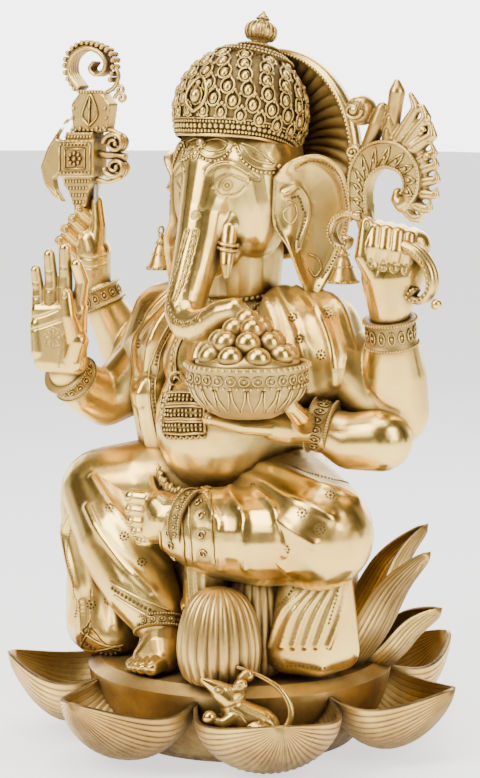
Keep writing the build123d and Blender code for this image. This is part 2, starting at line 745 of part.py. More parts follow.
necklace_radius = 42.0
necklace_plane = Plane(origin=(0, 2, shoulder_z + 32), z_dir=(0, -0.4, 1))
with BuildPart() as necklace:
    with BuildSketch(necklace_plane):
        Circle(necklace_radius + 10)
    extrude(amount=9)
    add(torso_outside, mode=Mode.SUBTRACT)
    add(collar_outside, mode=Mode.SUBTRACT)
    add(head_shape.part, mode=Mode.SUBTRACT)

bell_profile = [(4, 14), (8, 8), (12, 4), (16, -14), (16, -18), (0, -18)]
with BuildPart() as earrings:
    for side in (-1, 1):
        hang_at = Vector(side * 127, 22, head_centre.Z - 68)
        with BuildSketch(Plane(origin=hang_at, x_dir=(1, 0, 0), z_dir=(0, -1, 0))):
            with BuildLine():
                Polyline((0, 16), *bell_profile, close=True)
            make_face()
        revolve(axis=Axis(hang_at, (0, 0, 1)))
    for neighbour in (left_ear, right_ear):
        add(neighbour.part, mode=Mode.SUBTRACT)
    for blocker in (left_back_shape, right_back_shape, collar_outside):
        add(blocker, mode=Mode.SUBTRACT)

# Axe and noose, held by the upper hands ----------------------------------------------------------
axe_centre = palm_side + Vector(4, -1, 96)
axe_box = 46.0
with BuildPart() as axe:
    with Locations(axe_centre):
        Box(axe_box, axe_box * 0.8, axe_box * 0.86)
    for width, depth, drop in ((40, 32, 22), (30, 26, 28)):
        with Locations(axe_centre - Vector(0, 0, drop)):
            Box(width, depth, 7)
    with Locations(axe_centre - Vector(0, 0, 40)):
        Cylinder(10, 22)
    blade_plane = Plane(origin=axe_centre + Vector(-axe_box / 2, -4, -4), x_dir=(1, 0, 0), z_dir=(0, -1, 0))
    with BuildSketch(blade_plane):
        with BuildLine():
            Line((0, 12), (-10, 14))
            ThreePointArc((-10, 14), (-22, 26), (-28, 46))
            ThreePointArc((-28, 46), (-38, 0), (-16, -46))
            ThreePointArc((-16, -46), (-22, -26), (-10, -14))
            Line((-10, -14), (0, -12))
            Line((0, -12), (0, 12))
        make_face()
    extrude(amount=3.5, both=True)
    add(upper_right_hand.part, mode=Mode.SUBTRACT)

with BuildPart() as axe_crest:
    niche = axe_centre + Vector(10, 2, axe_box * 0.43 + 20)
    with Locations(niche):
        Box(30, 26, 40)
    crest_plane = Plane(origin=niche + Vector(0, 13, 22), x_dir=(1, 0, 0), z_dir=(0, -1, 0))
    with BuildSketch(crest_plane):
        with BuildLine():
            Spline((-15, -2), (-34, 18), (-24, 44), (0, 56), (16, 44), (22, 20), (15, -2))
            Line((15, -2), (-15, -2))
        make_face()
    extrude(amount=22)
    add(axe.part, mode=Mode.SUBTRACT)

noose_turn = 14.0
ring_centre = palm_fist + Vector(-4, -4, 76)
noose_plane = Plane(
    origin=ring_centre,
    x_dir=(cos(radians(noose_turn)), sin(radians(noose_turn)), 0),
    z_dir=(sin(radians(noose_turn)), -cos(radians(noose_turn)), 0),
)
noose_thickness = 14.0
noose_outer = 41.0
noose_inner = 25.0
with BuildPart() as noose:
    with BuildSketch(noose_plane):
        Circle(noose_outer)
        Circle(noose_inner, mode=Mode.SUBTRACT)
        with Locations((4, -34)):
            Rectangle(40, 30, mode=Mode.SUBTRACT)
        with Locations((-28, -30)):
            Rectangle(20, 62)
    extrude(amount=noose_thickness / 2, both=True)
    with BuildSketch(noose_plane):
        with BuildLine():
            arch = [(-32, 8), (-46, 22), (-62, 62), (-44, 88), (-6, 84)]
            Spline(*arch, (8, 100), (26, 84), (50, 62), (52, 16), (32, 8))
            ThreePointArc((32, 8), (0, (noose_outer + noose_inner) / 2), (-32, 8))
        make_face()
    extrude(amount=5, both=True)
    add(upper_left_hand.part, mode=Mode.SUBTRACT)
with BuildPart() as noose_tail:
    inward = [palm_fist + Vector(-38, -10, 4), palm_fist + Vector(-58, -14, 20)]
    inward.append(palm_fist + Vector(-52, -16, 36))
    add(limb(inward, [6, 9, 7]))
    down = [palm_fist + Vector(24, 10, 4), palm_fist + Vector(36, 12, -20), palm_fist + Vector(30, 16, -44)]
    add(limb(down, [7, 7, 8]))
    for neighbour in (upper_left_hand, upper_left_bracelet, noose, upper_left_arm):
        add(neighbour.part, mode=Mode.SUBTRACT)

# Buds and mouse -----------------------------------------------------------------------------------


def bud(centre, radius, height, cutters):
    """A closed lotus bud standing on its flat underside."""
    with BuildPart() as made:
        with BuildSketch(Plane(origin=centre, x_dir=(1, 0, 0), z_dir=(0, -1, 0))):
            with BuildLine():
                Line((0, 0), (radius * 0.72, 0))
                ThreePointArc((radius * 0.72, 0), (radius, height * 0.42), (radius * 0.7, height * 0.78))
                Line((radius * 0.7, height * 0.78), (0, height))
                Line((0, height), (0, 0))
            make_face()
        revolve(axis=Axis(centre, (0, 0, 1)))
        for cutter in cutters:
            add(cutter, mode=Mode.SUBTRACT)
    return made.part


fold_outside = limb(fold, [r + 0.1 for r in fold_radii])
fall_outside = limb(fall, [r + 0.1 for r in fall_radii])
bud_height = 88.0
with BuildPart() as large_bud:
    spot = Vector(70, -106, platform_height + joint_gap)
    add(bud(spot, 40, bud_height, (fold_outside, fall_outside)))
with BuildPart() as small_bud:
    spot = Vector(76, -60, platform_height + joint_gap)
    cutters = (fold_outside, fall_outside, large_bud.part, left_thigh_outside)
    add(bud(spot, 28, bud_height * 1.28, cutters))

mouse_seat = Vector(124, -116, 47)
mouse_chest = mouse_seat + Vector(-18, -8, 26)
mouse_head = mouse_seat + Vector(-36, -16, 46)
with BuildPart() as mouse:
    add(limb([mouse_seat, mouse_chest, mouse_head], [33, 22, 15]))
    add(limb([mouse_head, mouse_head + Vector(-16, -8, -2)], [14.5, 6]))
    add(outer_petals[1], mode=Mode.SUBTRACT)
    add(base_body.part, mode=Mode.SUBTRACT)
    add(large_bud.part, mode=Mode.SUBTRACT)

with BuildPart() as middle_petals:
    blockers = [base_body.part, seat_outside, fall_outside]
    add(standing_petals(middle_angles, 112, 188, middle_height, 44, blockers))
with BuildPart() as inner_petals:
    blockers = [base_body.part, seat_outside, fall_outside, left_thigh_outside, right_thigh_outside]
    add(standing_petals(inner_angles, 96, 174, inner_height, 42, blockers))
with BuildPart() as middle_ring:
    add(middle_petals.part)
    for angle in inner_angles:
        root = around(angle, 96, platform_height - 14)
        tip = around(angle, 174, platform_height + inner_height)
        add(spoon(root, tip, 42.2, 42), mode=Mode.SUBTRACT)

# Pins and screws -----------------------------------------------------------------------------------
with BuildPart() as finial_stud:
    with BuildSketch(crown_plane.offset(ring_level - 12)):
        Circle(stud_radius)
    extrude(amount=ring_height + 32)
with BuildPart() as wheel_screws:
    for side in (-1, 1):
        screw_at = wheel_centre + Vector(side * 24, 7, -22)
        with BuildSketch(Plane(origin=screw_at, z_dir=(0, 1, 0))):
            Circle(stud_radius)
        extrude(amount=-26)
with BuildPart() as axe_pin:
    with BuildSketch(Plane(origin=axe_centre - Vector(0, 0, 60))):
        Circle(stud_radius)
    extrude(amount=40)
with BuildPart() as noose_pin:
    with BuildSketch(Plane(origin=ring_centre + Vector(-26, -6, -70))):
        Circle(stud_radius)
    extrude(amount=40)
pinned = (
    (finial_stud, (crown_dome, crown_ring, crown_finial)),
    (wheel_screws, (crown_wheel, head)),
    (axe_pin, (axe, upper_right_hand)),
    (noose_pin, (noose, upper_left_hand)),
)
for pin, pieces in pinned:
    for piece in pieces:
        piece.part -= pin.part
with BuildPart() as joint_pins:
    for pin, pieces in pinned:
        add(pin.part)

# Write each node --------------------------------------------------------------------------------------
nodes = {
    "lotus_base": lotus_base.part,
    "middle_petals": middle_ring.part,
    "inner_petals": inner_petals.part,
    "large_bud": large_bud.part,
    "small_bud": small_bud.part,
    "mouse": mouse.part,
    "lower_body": lower_body.part,
    "left_shin": left_shin.part,
    "right_shin": right_shin.part,
    "left_foot": left_foot.part,
    "right_foot": right_foot.part,
    "left_anklet": left_anklet.part,
    "right_anklet": right_anklet.part,
    "right_leg_cloth": right_leg_cloth.part,
    "knee_drape": knee_drape.part,
    "front_pleats": front_pleats.part,
    "waist_frill": waist_frill.part,
    "torso": torso.part,
    "shawl_left": shawl_left.part,
    "shawl_right": shawl_right.part,
    "garland": garland.part,
    "belly_pendant": belly_pendant.part,
    "necklace": necklace.part,
    "upper_left_arm": upper_left_arm.part,
    "upper_right_arm": upper_right_arm.part,
    "lower_left_arm": lower_left_arm.part,
    "lower_right_arm": lower_right_arm.part,
    "upper_left_hand": upper_left_hand.part,
    "upper_right_hand": upper_right_hand.part,
    "lower_left_hand": lower_left_hand.part,
    "lower_right_hand": lower_right_hand.part,
    "upper_left_bracelet": upper_left_bracelet.part,
    "upper_right_bracelet": upper_right_bracelet.part,
    "lower_left_bracelet": lower_left_bracelet.part,
    "lower_right_bracelet": lower_right_bracelet.part,
    "head": head.part,
    "trunk": trunk.part,
    "left_tusk": left_tusk.part,
    "right_tusk": right_tusk.part,
    "left_ear": left_ear.part,
    "right_ear": right_ear.part,
    "earrings": earrings.part,
    "crown_dome": crown_dome.part,
    "crown_ring": crown_ring.part,
    "crown_finial": crown_finial.part,
    "crown_wheel": crown_wheel.part,
    "axe": axe.part,
    "axe_crest": axe_crest.part,
    "noose": noose.part,
    "noose_tail": noose_tail.part,
    "bowl": bowl.part,
    "sweets": sweets.part,
}
for number, petal in enumerate(outer_petals):
    nodes[f"outer_petal_{number + 1}"] = petal
nodes["joint_pins"] = joint_pins.part

for name, piece in nodes.items():
    piece.label = name
    export_step(piece, f"parts/{name}.step")
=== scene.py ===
import math
import random

import bmesh
import bpy
import numpy as np
from mathutils import Matrix, Vector, noise
from mathutils.bvhtree import BVHTree


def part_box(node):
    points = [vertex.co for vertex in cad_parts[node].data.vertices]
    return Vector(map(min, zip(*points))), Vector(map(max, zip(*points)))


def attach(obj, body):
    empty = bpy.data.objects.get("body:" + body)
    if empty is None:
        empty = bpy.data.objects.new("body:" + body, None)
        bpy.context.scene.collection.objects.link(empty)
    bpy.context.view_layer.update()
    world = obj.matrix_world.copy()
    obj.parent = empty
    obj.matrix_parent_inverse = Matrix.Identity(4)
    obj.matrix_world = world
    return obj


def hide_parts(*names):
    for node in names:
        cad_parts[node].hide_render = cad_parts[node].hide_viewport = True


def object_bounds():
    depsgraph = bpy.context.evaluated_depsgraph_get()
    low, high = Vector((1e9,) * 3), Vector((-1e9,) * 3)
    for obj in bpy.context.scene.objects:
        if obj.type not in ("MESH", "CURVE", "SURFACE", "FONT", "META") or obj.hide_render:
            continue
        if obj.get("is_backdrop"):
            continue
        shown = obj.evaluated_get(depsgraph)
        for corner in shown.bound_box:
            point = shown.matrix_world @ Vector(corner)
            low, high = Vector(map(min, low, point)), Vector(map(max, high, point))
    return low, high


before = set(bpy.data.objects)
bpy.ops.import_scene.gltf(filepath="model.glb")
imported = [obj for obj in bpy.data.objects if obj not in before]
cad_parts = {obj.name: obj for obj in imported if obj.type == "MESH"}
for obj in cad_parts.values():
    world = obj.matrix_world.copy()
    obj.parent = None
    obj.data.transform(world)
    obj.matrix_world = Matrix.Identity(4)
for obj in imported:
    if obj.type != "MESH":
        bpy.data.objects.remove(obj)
cad_low, cad_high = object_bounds()
cad_box = [list(cad_low), list(cad_high)]
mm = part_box("crown_finial")[1][2] / 738.0  # the figure's height sets every size below
chance = random.Random(7)

# The view: a buyer looks at the idol from its front left, a little above its lap, from 2.5 m.
view_turn, view_rise, view_far = math.radians(42), math.radians(7.5), 2500
target = Vector((0, 0, 357.5))
look = Vector(
    (math.sin(view_turn) * math.cos(view_rise), -math.cos(view_turn) * math.cos(view_rise), math.sin(view_rise))
)
across = Vector((math.cos(view_turn), math.sin(view_turn), 0))
upward = look.cross(across)
eye = target + look * view_far
lens = bpy.data.cameras.new("camera")
lens.lens = 113.6
lens.clip_end = 20
camera = bpy.data.objects.new("camera", lens)
camera.location = eye * mm
camera.rotation_euler = look.to_track_quat("Z", "Y").to_euler()
bpy.context.collection.objects.link(camera)
bpy.context.scene.camera = camera

# The studio: a pale sheet to stand on, two large soft boxes, a rim light, and dark cards that
# the polished metal mirrors, so that its rounded forms read.


def plain_material(name, colour, roughness):
    made = bpy.data.materials.new(name)
    made.use_nodes = True
    shader = made.node_tree.nodes["Principled BSDF"]
    shader.inputs["Base Color"].default_value = (*colour, 1)
    shader.inputs["Roughness"].default_value = roughness
    return made


sheet = bmesh.new()
bmesh.ops.create_grid(sheet, x_segments=2, y_segments=2, size=14)
floor_mesh = bpy.data.meshes.new("floor")
sheet.to_mesh(floor_mesh)
sheet.free()
floor = bpy.data.objects.new("floor", floor_mesh)
bpy.context.collection.objects.link(floor)
pale_sheet = plain_material("pale_sheet", (0.92, 0.92, 0.92), 0.9)
lit = pale_sheet.node_tree.nodes["Principled BSDF"].inputs
lit["Emission Color"].default_value = (1, 1, 1, 1)
lit["Emission Strength"].default_value = 1.3
floor_mesh.materials.append(pale_sheet)
floor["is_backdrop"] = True


def soft_box(name, turn, rise, distance, size, power, colour=(1, 1, 1)):
    lamp = bpy.data.lights.new(name, "AREA")
    lamp.shape = "RECTANGLE"
    lamp.size, lamp.size_y = size
    lamp.energy = power
    lamp.color = colour
    way = Vector((math.sin(turn) * math.cos(rise), -math.cos(turn) * math.cos(rise), math.sin(rise)))
    holder = bpy.data.objects.new(name, lamp)
    holder.location = target * mm + way * distance
    holder.rotation_euler = way.to_track_quat("Z", "Y").to_euler()
    bpy.context.collection.objects.link(holder)


soft_box("key_box", math.radians(-12), math.radians(38), 1.9, (1.0, 1.5), 46, (1, 0.98, 0.95))
soft_box("fill_box", math.radians(88), math.radians(24), 2.1, (0.9, 1.5), 30, (1, 0.97, 0.93))
soft_box("back_box", math.radians(205), math.radians(40), 2.2, (1.6, 1.2), 30)
soft_box("top_box", math.radians(42), math.radians(80), 1.6, (1.0, 1.0), 20)
sky = bpy.data.worlds.new("studio")
sky.use_nodes = True
bpy.context.scene.world = sky
back = sky.node_tree.nodes["Background"]
back.inputs["Strength"].default_value = 1
outlook = sky.node_tree.nodes.new("ShaderNodeTexCoord")
facing = sky.node_tree.nodes.new("ShaderNodeVectorMath")
facing.operation = "DOT_PRODUCT"
facing.inputs[1].default_value = -look
sky.node_tree.links.new(outlook.outputs["Generated"], facing.inputs[0])
wall = sky.node_tree.nodes.new("ShaderNodeValToRGB")
wall.color_ramp.elements[0].position, wall.color_ramp.elements[1].position = 0.1, 0.9
wall.color_ramp.elements[0].color = (0.11, 0.09, 0.07, 1)
wall.color_ramp.elements[1].color = (5, 5, 5, 1)
half = wall.color_ramp.elements.new(0.55)
half.color = (0.5, 0.47, 0.43, 1)
sky.node_tree.links.new(facing.outputs["Value"], wall.inputs["Fac"])
sky.node_tree.links.new(wall.outputs["Color"], back.inputs["Color"])


def card(name, turn, distance, width, tall):
    """A dark card beside the object, out of the lens's sight."""
    made = bmesh.new()
    bmesh.ops.create_grid(made, x_segments=1, y_segments=1, size=0.5)
    way = Vector((math.sin(turn), -math.cos(turn), 0))
    place = Matrix.Translation(way * distance + Vector((0, 0, tall / 2)))
    place @= way.to_track_quat("Z", "Y").to_matrix().to_4x4() @ Matrix.Diagonal((width, tall, 1, 1))
    bmesh.ops.transform(made, matrix=place, verts=made.verts)
    mesh = bpy.data.meshes.new(name)
    made.to_mesh(mesh)
    made.free()
    board = bpy.data.objects.new(name, mesh)
    board.visible_camera = False
    board.visible_shadow = False
    mesh.materials.append(dark_card)
    bpy.context.collection.objects.link(board)
    board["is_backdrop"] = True


dark_card = plain_material("dark_card", (0.02, 0.014, 0.01), 0.9)
for number, (turn, width) in enumerate(((-62, 0.9), (42, 0.5), (138, 0.9), (-120, 0.5))):
    card(f"card_{number}", math.radians(turn), 3.0, width, 2.4)


# Brass finishes. Every casting is sand-cast brass, dipped in a dark brown wash and rubbed back,
# so the high places shine and the fine hollows and chased lines stay brown; undercuts and the spaces between parts are
# darkened as painted shade.


class Value:
    """A number that varies over a surface, written with ordinary arithmetic."""

    def __init__(self, tree, socket):
        self.tree, self.socket = tree, socket

    def math(self, operation, first, second):
        made = self.tree.nodes.new("ShaderNodeMath")
        made.operation = operation
        for slot, value in zip(made.inputs, (first, second)):
            if isinstance(value, Value):
                self.tree.links.new(value.socket, slot)
            else:
                slot.default_value = value
        return Value(self.tree, made.outputs[0])

    def __add__(self, other):
        return self.math("ADD", self, other)

    def __sub__(self, other):
        return self.math("SUBTRACT", self, other)

    def __rsub__(self, other):
        return self.math("SUBTRACT", other, self)

    def __mul__(self, other):
        return self.math("MULTIPLY", self, other)

    def highest(self, other):
        return self.math("MAXIMUM", self, other)

    __radd__, __rmul__ = __add__, __mul__


class Finish:
    """A material's node tree, with one method that adds any node."""

    def __init__(self, name):
        self.material = bpy.data.materials.new(name)
        self.material.use_nodes = True
        self.tree = self.material.node_tree
        self.shader = self.tree.nodes["Principled BSDF"]

    def node(self, kind, settings=(), sockets=(), out=0):
        made = self.tree.nodes.new(kind)
        for key, value in dict(settings).items():
            if key == "stops":
                made.color_ramp.elements[0].position, made.color_ramp.elements[1].position = value
            else:
                setattr(made, key, value)
        for key, value in dict(sockets).items():
            if isinstance(value, Value):
                self.tree.links.new(value.socket, made.inputs[key])
            else:
                made.inputs[key].default_value = value
        return Value(self.tree, made.outputs[out])

    def feed(self, name, value):
        self.tree.links.new(value.socket, self.shader.inputs[name])


def brass(name, bright, warm, wash, shine, grime, grain=0.0):
    """Rubbed-back brass: bright on the high places, brown wash in the fine hollows, painted shade in undercuts and
    between parts.
    """
    finish = Finish(name)
    place = finish.node("ShaderNodeTexCoord", out=3)
    cloud = finish.node("ShaderNodeTexNoise", sockets={"Vector": place, "Scale": 14.0, "Detail": 4.0})
    fine = finish.node("ShaderNodeTexNoise", sockets={"Vector": place, "Scale": 160.0, "Detail": 3.0})
    ramp = finish.node("ShaderNodeValToRGB", {"stops": (0.42, 0.68)}, {"Fac": cloud})
    near = finish.node("ShaderNodeAmbientOcclusion", {"samples": 6}, {"Distance": 0.012}, out=1)
    # The wide 70 mm occlusion reach darkens undercuts and the spaces between parts: this is painted shade, not wash.
    wide_painted_shade = finish.node("ShaderNodeAmbientOcclusion", {"samples": 6}, {"Distance": 0.07}, out=1)
    drawn = finish.node("ShaderNodeAttribute", {"attribute_name": "wash"}, out=2)
    hollow = finish.node("ShaderNodeValToRGB", {"stops": (0.08, 0.45)}, {"Fac": 1 - near})
    deep = finish.node("ShaderNodeValToRGB", {"stops": (0.22, 0.78)}, {"Fac": 1 - wide_painted_shade})
    # The darkening is partly the real brown wash (fine hollows, chased lines, the wash attribute) and partly painted
    # shade (the wide reach).
    wash_and_painted_shade = (hollow * 0.95).highest(drawn).highest(deep * 0.85)
    wash_and_painted_shade = wash_and_painted_shade + (fine - 0.5) * 0.35 * wash_and_painted_shade + (cloud - 0.45) * grime
    wash_and_painted_shade = finish.node("ShaderNodeClamp", sockets={"Value": wash_and_painted_shade})
    tone = finish.node(
        "ShaderNodeMix", {"data_type": "RGBA"}, {"Factor": ramp, "A": (*bright, 1), "B": (*warm, 1)}, out=2
    )
    colour = finish.node(
        "ShaderNodeMix", {"data_type": "RGBA"}, {"Factor": wash_and_painted_shade * 0.93, "A": tone, "B": (*wash, 1)}, out=2
    )
    finish.feed("Base Color", colour)
    finish.feed("Roughness", shine + wash_and_painted_shade * 0.38 + (fine - 0.5) * 0.1)
    finish.feed("Metallic", 1 - wash_and_painted_shade * 0.35)
    if grain:
        bump = finish.node(
            "ShaderNodeBump", sockets={"Height": fine, "Strength": grain, "Distance": 0.0006}
        )
        finish.feed("Normal", bump)
    return finish.material


polished = brass("polished_brass", (0.97, 0.68, 0.19), (0.86, 0.52, 0.12), (0.050, 0.022, 0.005), 0.24, 0.12)
antique = brass("antique_brass", (0.92, 0.64, 0.19), (0.70, 0.42, 0.10), (0.045, 0.020, 0.005), 0.27, 0.45, 0.25)
satin = brass("petal_brass", (0.84, 0.56, 0.17), (0.56, 0.33, 0.09), (0.045, 0.022, 0.006), 0.33, 0.7, 0.4)

# Shared wax-modelling helpers, first used by the lotus. A piece is modelled in millimetres.


def new_object(name, mesh, material, slot, *nodes):
    """Puts a finished mesh in the scene as the piece that stands for some CAD nodes."""
    piece = bpy.data.objects.new(name, mesh)
    bpy.context.collection.objects.link(piece)
    if not mesh.materials:
        mesh.materials.append(material)
    for face in mesh.polygons:
        face.use_smooth = True
    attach(piece, "root")
    if nodes:
        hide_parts(*nodes)
    return piece


def to_mesh(name, bm, weld=0.0):
    """Turns a millimetre bmesh into a mesh in metres, in the shared frame."""
    bmesh.ops.scale(bm, vec=(mm, mm, mm), verts=bm.verts)
    mesh = bpy.data.meshes.new(name)
    bm.to_mesh(mesh)
    bm.free()
    return mesh


def finished(mesh, *steps):
    """Applies modifiers, given as (kind, settings), and returns the resulting mesh."""
    holder = bpy.data.objects.new("holder", mesh)
    bpy.context.collection.objects.link(holder)
    for kind, settings in steps:
        step = holder.modifiers.new(kind.lower(), kind)
        for key, value in settings.items():
            setattr(step, key, value)
    graph = bpy.context.evaluated_depsgraph_get()
    done = bpy.data.meshes.new_from_object(holder.evaluated_get(graph))
    bpy.data.objects.remove(holder)
    return done


def merge(name, *meshes):
    """One mesh from several, keeping their wash attribute."""
    bm = bmesh.new()
    for mesh in meshes:
        bm.from_mesh(mesh)
    made = bpy.data.meshes.new(name)
    bm.to_mesh(made)
    bm.free()
    return made


def curve_through(points, step=1.5):
    """Evenly spaced places on a smooth curve through a few points."""
    points = [Vector(p) for p in points]
    if len(points) == 2:
        count = max(2, int((points[1] - points[0]).length / step))
        return [points[0].lerp(points[1], i / count) for i in range(count + 1)]
    ends = [2 * points[0] - points[1]] + points + [2 * points[-1] - points[-2]]
    path = []
    for a, b, c, d in zip(ends, ends[1:], ends[2:], ends[3:]):
        count = max(1, int((c - b).length / step))
        for i in range(count):
            t = i / count
            path.append(
                0.5 * (2 * b + (c - a) * t + (2 * a - 5 * b + 4 * c - d) * t**2 + (3 * b - a - 3 * c + d) * t**3)
            )
    path.append(points[-1])
    return path


def wire(bm, path, radius, sides=6, taper=None):
    """A round wire soldered along a path; taper gives its thickness at each end and the middle."""
    rings = []
    path = [Vector(p) for p in path]
    side = None
    for i, place in enumerate(path):
        ahead = (path[min(i + 1, len(path) - 1)] - path[max(i - 1, 0)]).normalized()
        if side is None:
            side = ahead.orthogonal().normalized()
        side = (side - ahead * side.dot(ahead)).normalized()
        other = ahead.cross(side)
        share = i / max(1, len(path) - 1)
        size = radius * (taper(share) if taper else 1)
        rings.append(
            [
                bm.verts.new(
                    place
                    + side * size * math.cos(2 * math.pi * k / sides)
                    + other * size * math.sin(2 * math.pi * k / sides)
                )
                for k in range(sides)
            ]
        )
    for first, second in zip(rings, rings[1:]):
        for k in range(sides):
            bm.faces.new((first[k], first[(k + 1) % sides], second[(k + 1) % sides], second[k]))
    bm.faces.new(list(reversed(rings[0])))
    bm.faces.new(rings[-1])


bead_shapes = {}
for fine, (around, rings_count) in {False: (8, 5), True: (16, 10)}.items():
    ball = bmesh.new()
    bmesh.ops.create_uvsphere(ball, u_segments=around, v_segments=rings_count, radius=1)
    bead_shapes[fine] = ([v.co.copy() for v in ball.verts], [[v.index for v in f.verts] for f in ball.faces])
    ball.free()


def wash_layer(bm):
    return bm.verts.layers.float.get("wash") or bm.verts.layers.float.new("wash")


def darken(bm, amount):
    """Leaves everything made so far dark from the brown wash."""
    layer = wash_layer(bm)
    for vert in bm.verts:
        vert[layer] = amount


def bead(bm, place, radius, stretch=(1, 1, 1), turn=None, fine=False, dark=0.0):
    """A cast bead, with few faces because there are thousands."""
    matrix = Matrix.Translation(place) @ (turn.to_4x4() if turn else Matrix()) @ Matrix.Diagonal((*stretch, 1))
    places, faces = bead_shapes[fine]
    layer = wash_layer(bm) if dark else None
    made = [bm.verts.new(matrix @ (co * radius)) for co in places]
    for face in faces:
        bm.faces.new([made[k] for k in face])
    if dark:
        for vert in made:
            vert[layer] = dark


def bead_row(bm, path, radius, gap=1.05, dark=0.0):
    """Beads side by side along a path."""
    travelled = 0.0
    last = Vector(path[0])
    bead(bm, last, radius, dark=dark)
    for place in path[1:]:
        place = Vector(place)
        travelled += (place - last).length
        last = place
        if travelled >= 2 * radius * gap:
            bead(bm, place, radius, dark=dark)
            travelled = 0.0


# Lotus: seven cupped outer petals round the foot, four middle and five inner petals behind the
# figure. Each is a separate sand casting with ribs scored in the mould, brazed to the base.


def petal_mesh(root, tip, half_width, depth, wall, open_way, sheer=0.0, curl=0.0, ribs=26, seed=0, blunt=0.0):
    """A pointed, cupped, ribbed petal from root to tip, open towards open_way."""
    bm = bmesh.new()
    mark = bm.verts.layers.float.new("wash")
    bmesh.ops.create_grid(bm, x_segments=28, y_segments=ribs * 5, size=1)
    forward = tip - root
    length = forward.length
    forward.normalize()
    sideways = forward.cross(open_way).normalized()
    open_dir = sideways.cross(forward).normalized()
    for vert in bm.verts:
        s, v = (vert.co.x + 1) / 2, vert.co.y
        swell = math.sin(math.pi * s) if 0 < s < 1 else 0
        width = half_width * math.cos(math.pi / 2 * max(0, s - blunt) / (1 - blunt)) ** 0.7 * (0.86 + 0.14 * swell if blunt else swell**0.5)
        bend = v * math.pi / 2
        wander = 0.5 * noise.noise(Vector((s * 3, v * 5, seed)))
        groove = abs(math.sin(bend * ribs + wander))
        rib = 1.5 * groove * min(1, (1 - s) * 3, s * 6)
        vert[mark] = 0.95 * (1 - groove) ** 1.6
        cup = depth * (max(swell, 1 - s / 0.5) if blunt else swell) ** 0.6
        drop = -(cup - rib) * math.cos(bend) - sheer * swell + curl * max(0, s - 0.62) ** 2 / 0.144
        vert.co = root + forward * (s * length) + sideways * (width * math.sin(bend)) + open_dir * drop
    bmesh.ops.remove_doubles(bm, verts=bm.verts, dist=0.2)
    bmesh.ops.recalc_face_normals(bm, faces=bm.faces)
    middle = min(bm.faces, key=lambda f: (f.calc_center_median() - (root + tip) / 2).length)
    if middle.normal.dot(open_dir) < 0:
        bmesh.ops.reverse_faces(bm, faces=bm.faces)
    mesh = to_mesh("petal", bm)
    return finished(mesh, ("SOLIDIFY", {"thickness": wall * mm, "offset": -1, "use_rim": True, "use_even_offset": False}))


def lotus_place(angle, radius, z):
    return Vector((radius * math.sin(math.radians(angle)), -radius * math.cos(math.radians(angle)), z))


outer_count = 7
tip_levels = (76, 70, 75, 86, 84, 82, 82)
for number in range(outer_count):
    angle = number * 360 / outer_count
    mesh = petal_mesh(
        lotus_place(angle, 112, 84),
        lotus_place(angle, 238, tip_levels[number]),
        68,
        50,
        4.5,
        Vector((0, 0, 1)),
        sheer=18,
        blunt=0.42,
        seed=number * 7.1,
    )
    new_object(f"outer_petal_{number + 1}_cast", mesh, satin, "petal_brass", f"outer_petal_{number + 1}")

standing = (
    ("middle_petals", (129, 163, 197, 231), 106, 190, 64, 146, 46, 20),
    ("inner_petals", (112, 146, 180, 214, 248), 96, 176, 60, 214, 44, 26),
)
for name, angles, root_radius, tip_radius, root_z, tip_z, half_width, curl in standing:
    petals = []
    for number, angle in enumerate(angles):
        top = tip_z + (6 if number % 2 else 0)
        root = lotus_place(angle, root_radius, root_z)
        tip = lotus_place(angle, tip_radius, top)
        inward = lotus_place(angle, -1, 0)
        petals.append(petal_mesh(root, tip, half_width, 26, 4, inward, curl=-curl, ribs=20, seed=angle))
    new_object(f"{name}_cast", merge(name, *petals), satin, "petal_brass", name)

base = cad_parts["lotus_base"]
base.data.materials.clear()
base.data.materials.append(satin)

# Buds: two closed buds beside the left leg, each gathered into deep pleats that meet on top.
for name, place, radius, height, pleats in (
    ("large_bud", (68, -106, 84), 42, 90, 22),
    ("small_bud", (76, -60, 84), 30, 114, 18),
):
    bm = bmesh.new()
    bmesh.ops.create_grid(bm, x_segments=pleats * 8, y_segments=26, size=1)
    for vert in bm.verts:
        turn, rise = (vert.co.x + 1) * math.pi, (vert.co.y + 1) / 2
        girth = math.sin(math.pi * (0.14 + 0.86 * rise)) ** 0.62 if rise < 1 else 0
        pleat = abs(math.sin(turn * pleats / 2))
        spread = radius * girth * (0.90 + 0.1 * pleat**0.5)
        level = height * (1 - math.cos(math.pi * rise * 0.98)) / 2 * (1 + 0.05 * rise)
        vert.co = Vector(place) + Vector((spread * math.cos(turn), spread * math.sin(turn), level))
    bmesh.ops.remove_doubles(bm, verts=bm.verts, dist=0.05)
    ends = [e for e in bm.edges if e.is_boundary]
    bmesh.ops.holes_fill(bm, edges=ends, sides=0)
    bmesh.ops.recalc_face_normals(bm, faces=bm.faces)
    new_object(f"{name}_cast", to_mesh(name, bm), satin, "petal_brass", name)

# The body. It is modelled in wax over balls, as a sculptor builds on an armature, fused into one
# skin, then chased: grooves and ridges are drawn along lines on the surface.


def skin_over(bm, *balls, fine=3):
    """Stretches one convex skin over balls, each (x, y, z, radius)."""
    knob = bmesh.new()
    for x, y, z, radius in balls:
        bmesh.ops.create_icosphere(
            knob, subdivisions=fine, radius=radius, matrix=Matrix.Translation((x, y, z))
        )
    bmesh.ops.delete(knob, geom=knob.edges[:] + knob.faces[:], context="EDGES_FACES")
    bmesh.ops.convex_hull(knob, input=knob.verts[:])
    loose = [v for v in knob.verts if not v.link_faces]
    bmesh.ops.delete(knob, geom=loose, context="VERTS")
    bmesh.ops.recalc_face_normals(knob, faces=knob.faces)
    part = bpy.data.meshes.new("skin")
    knob.to_mesh(part)
    knob.free()
    bm.from_mesh(part)
    bpy.data.meshes.remove(part)


def chain(bm, *balls, fine=3):
    """A limb: a skin over each pair of neighbouring balls."""
    for first, second in zip(balls, balls[1:]):
        skin_over(bm, first, second, fine=fine)


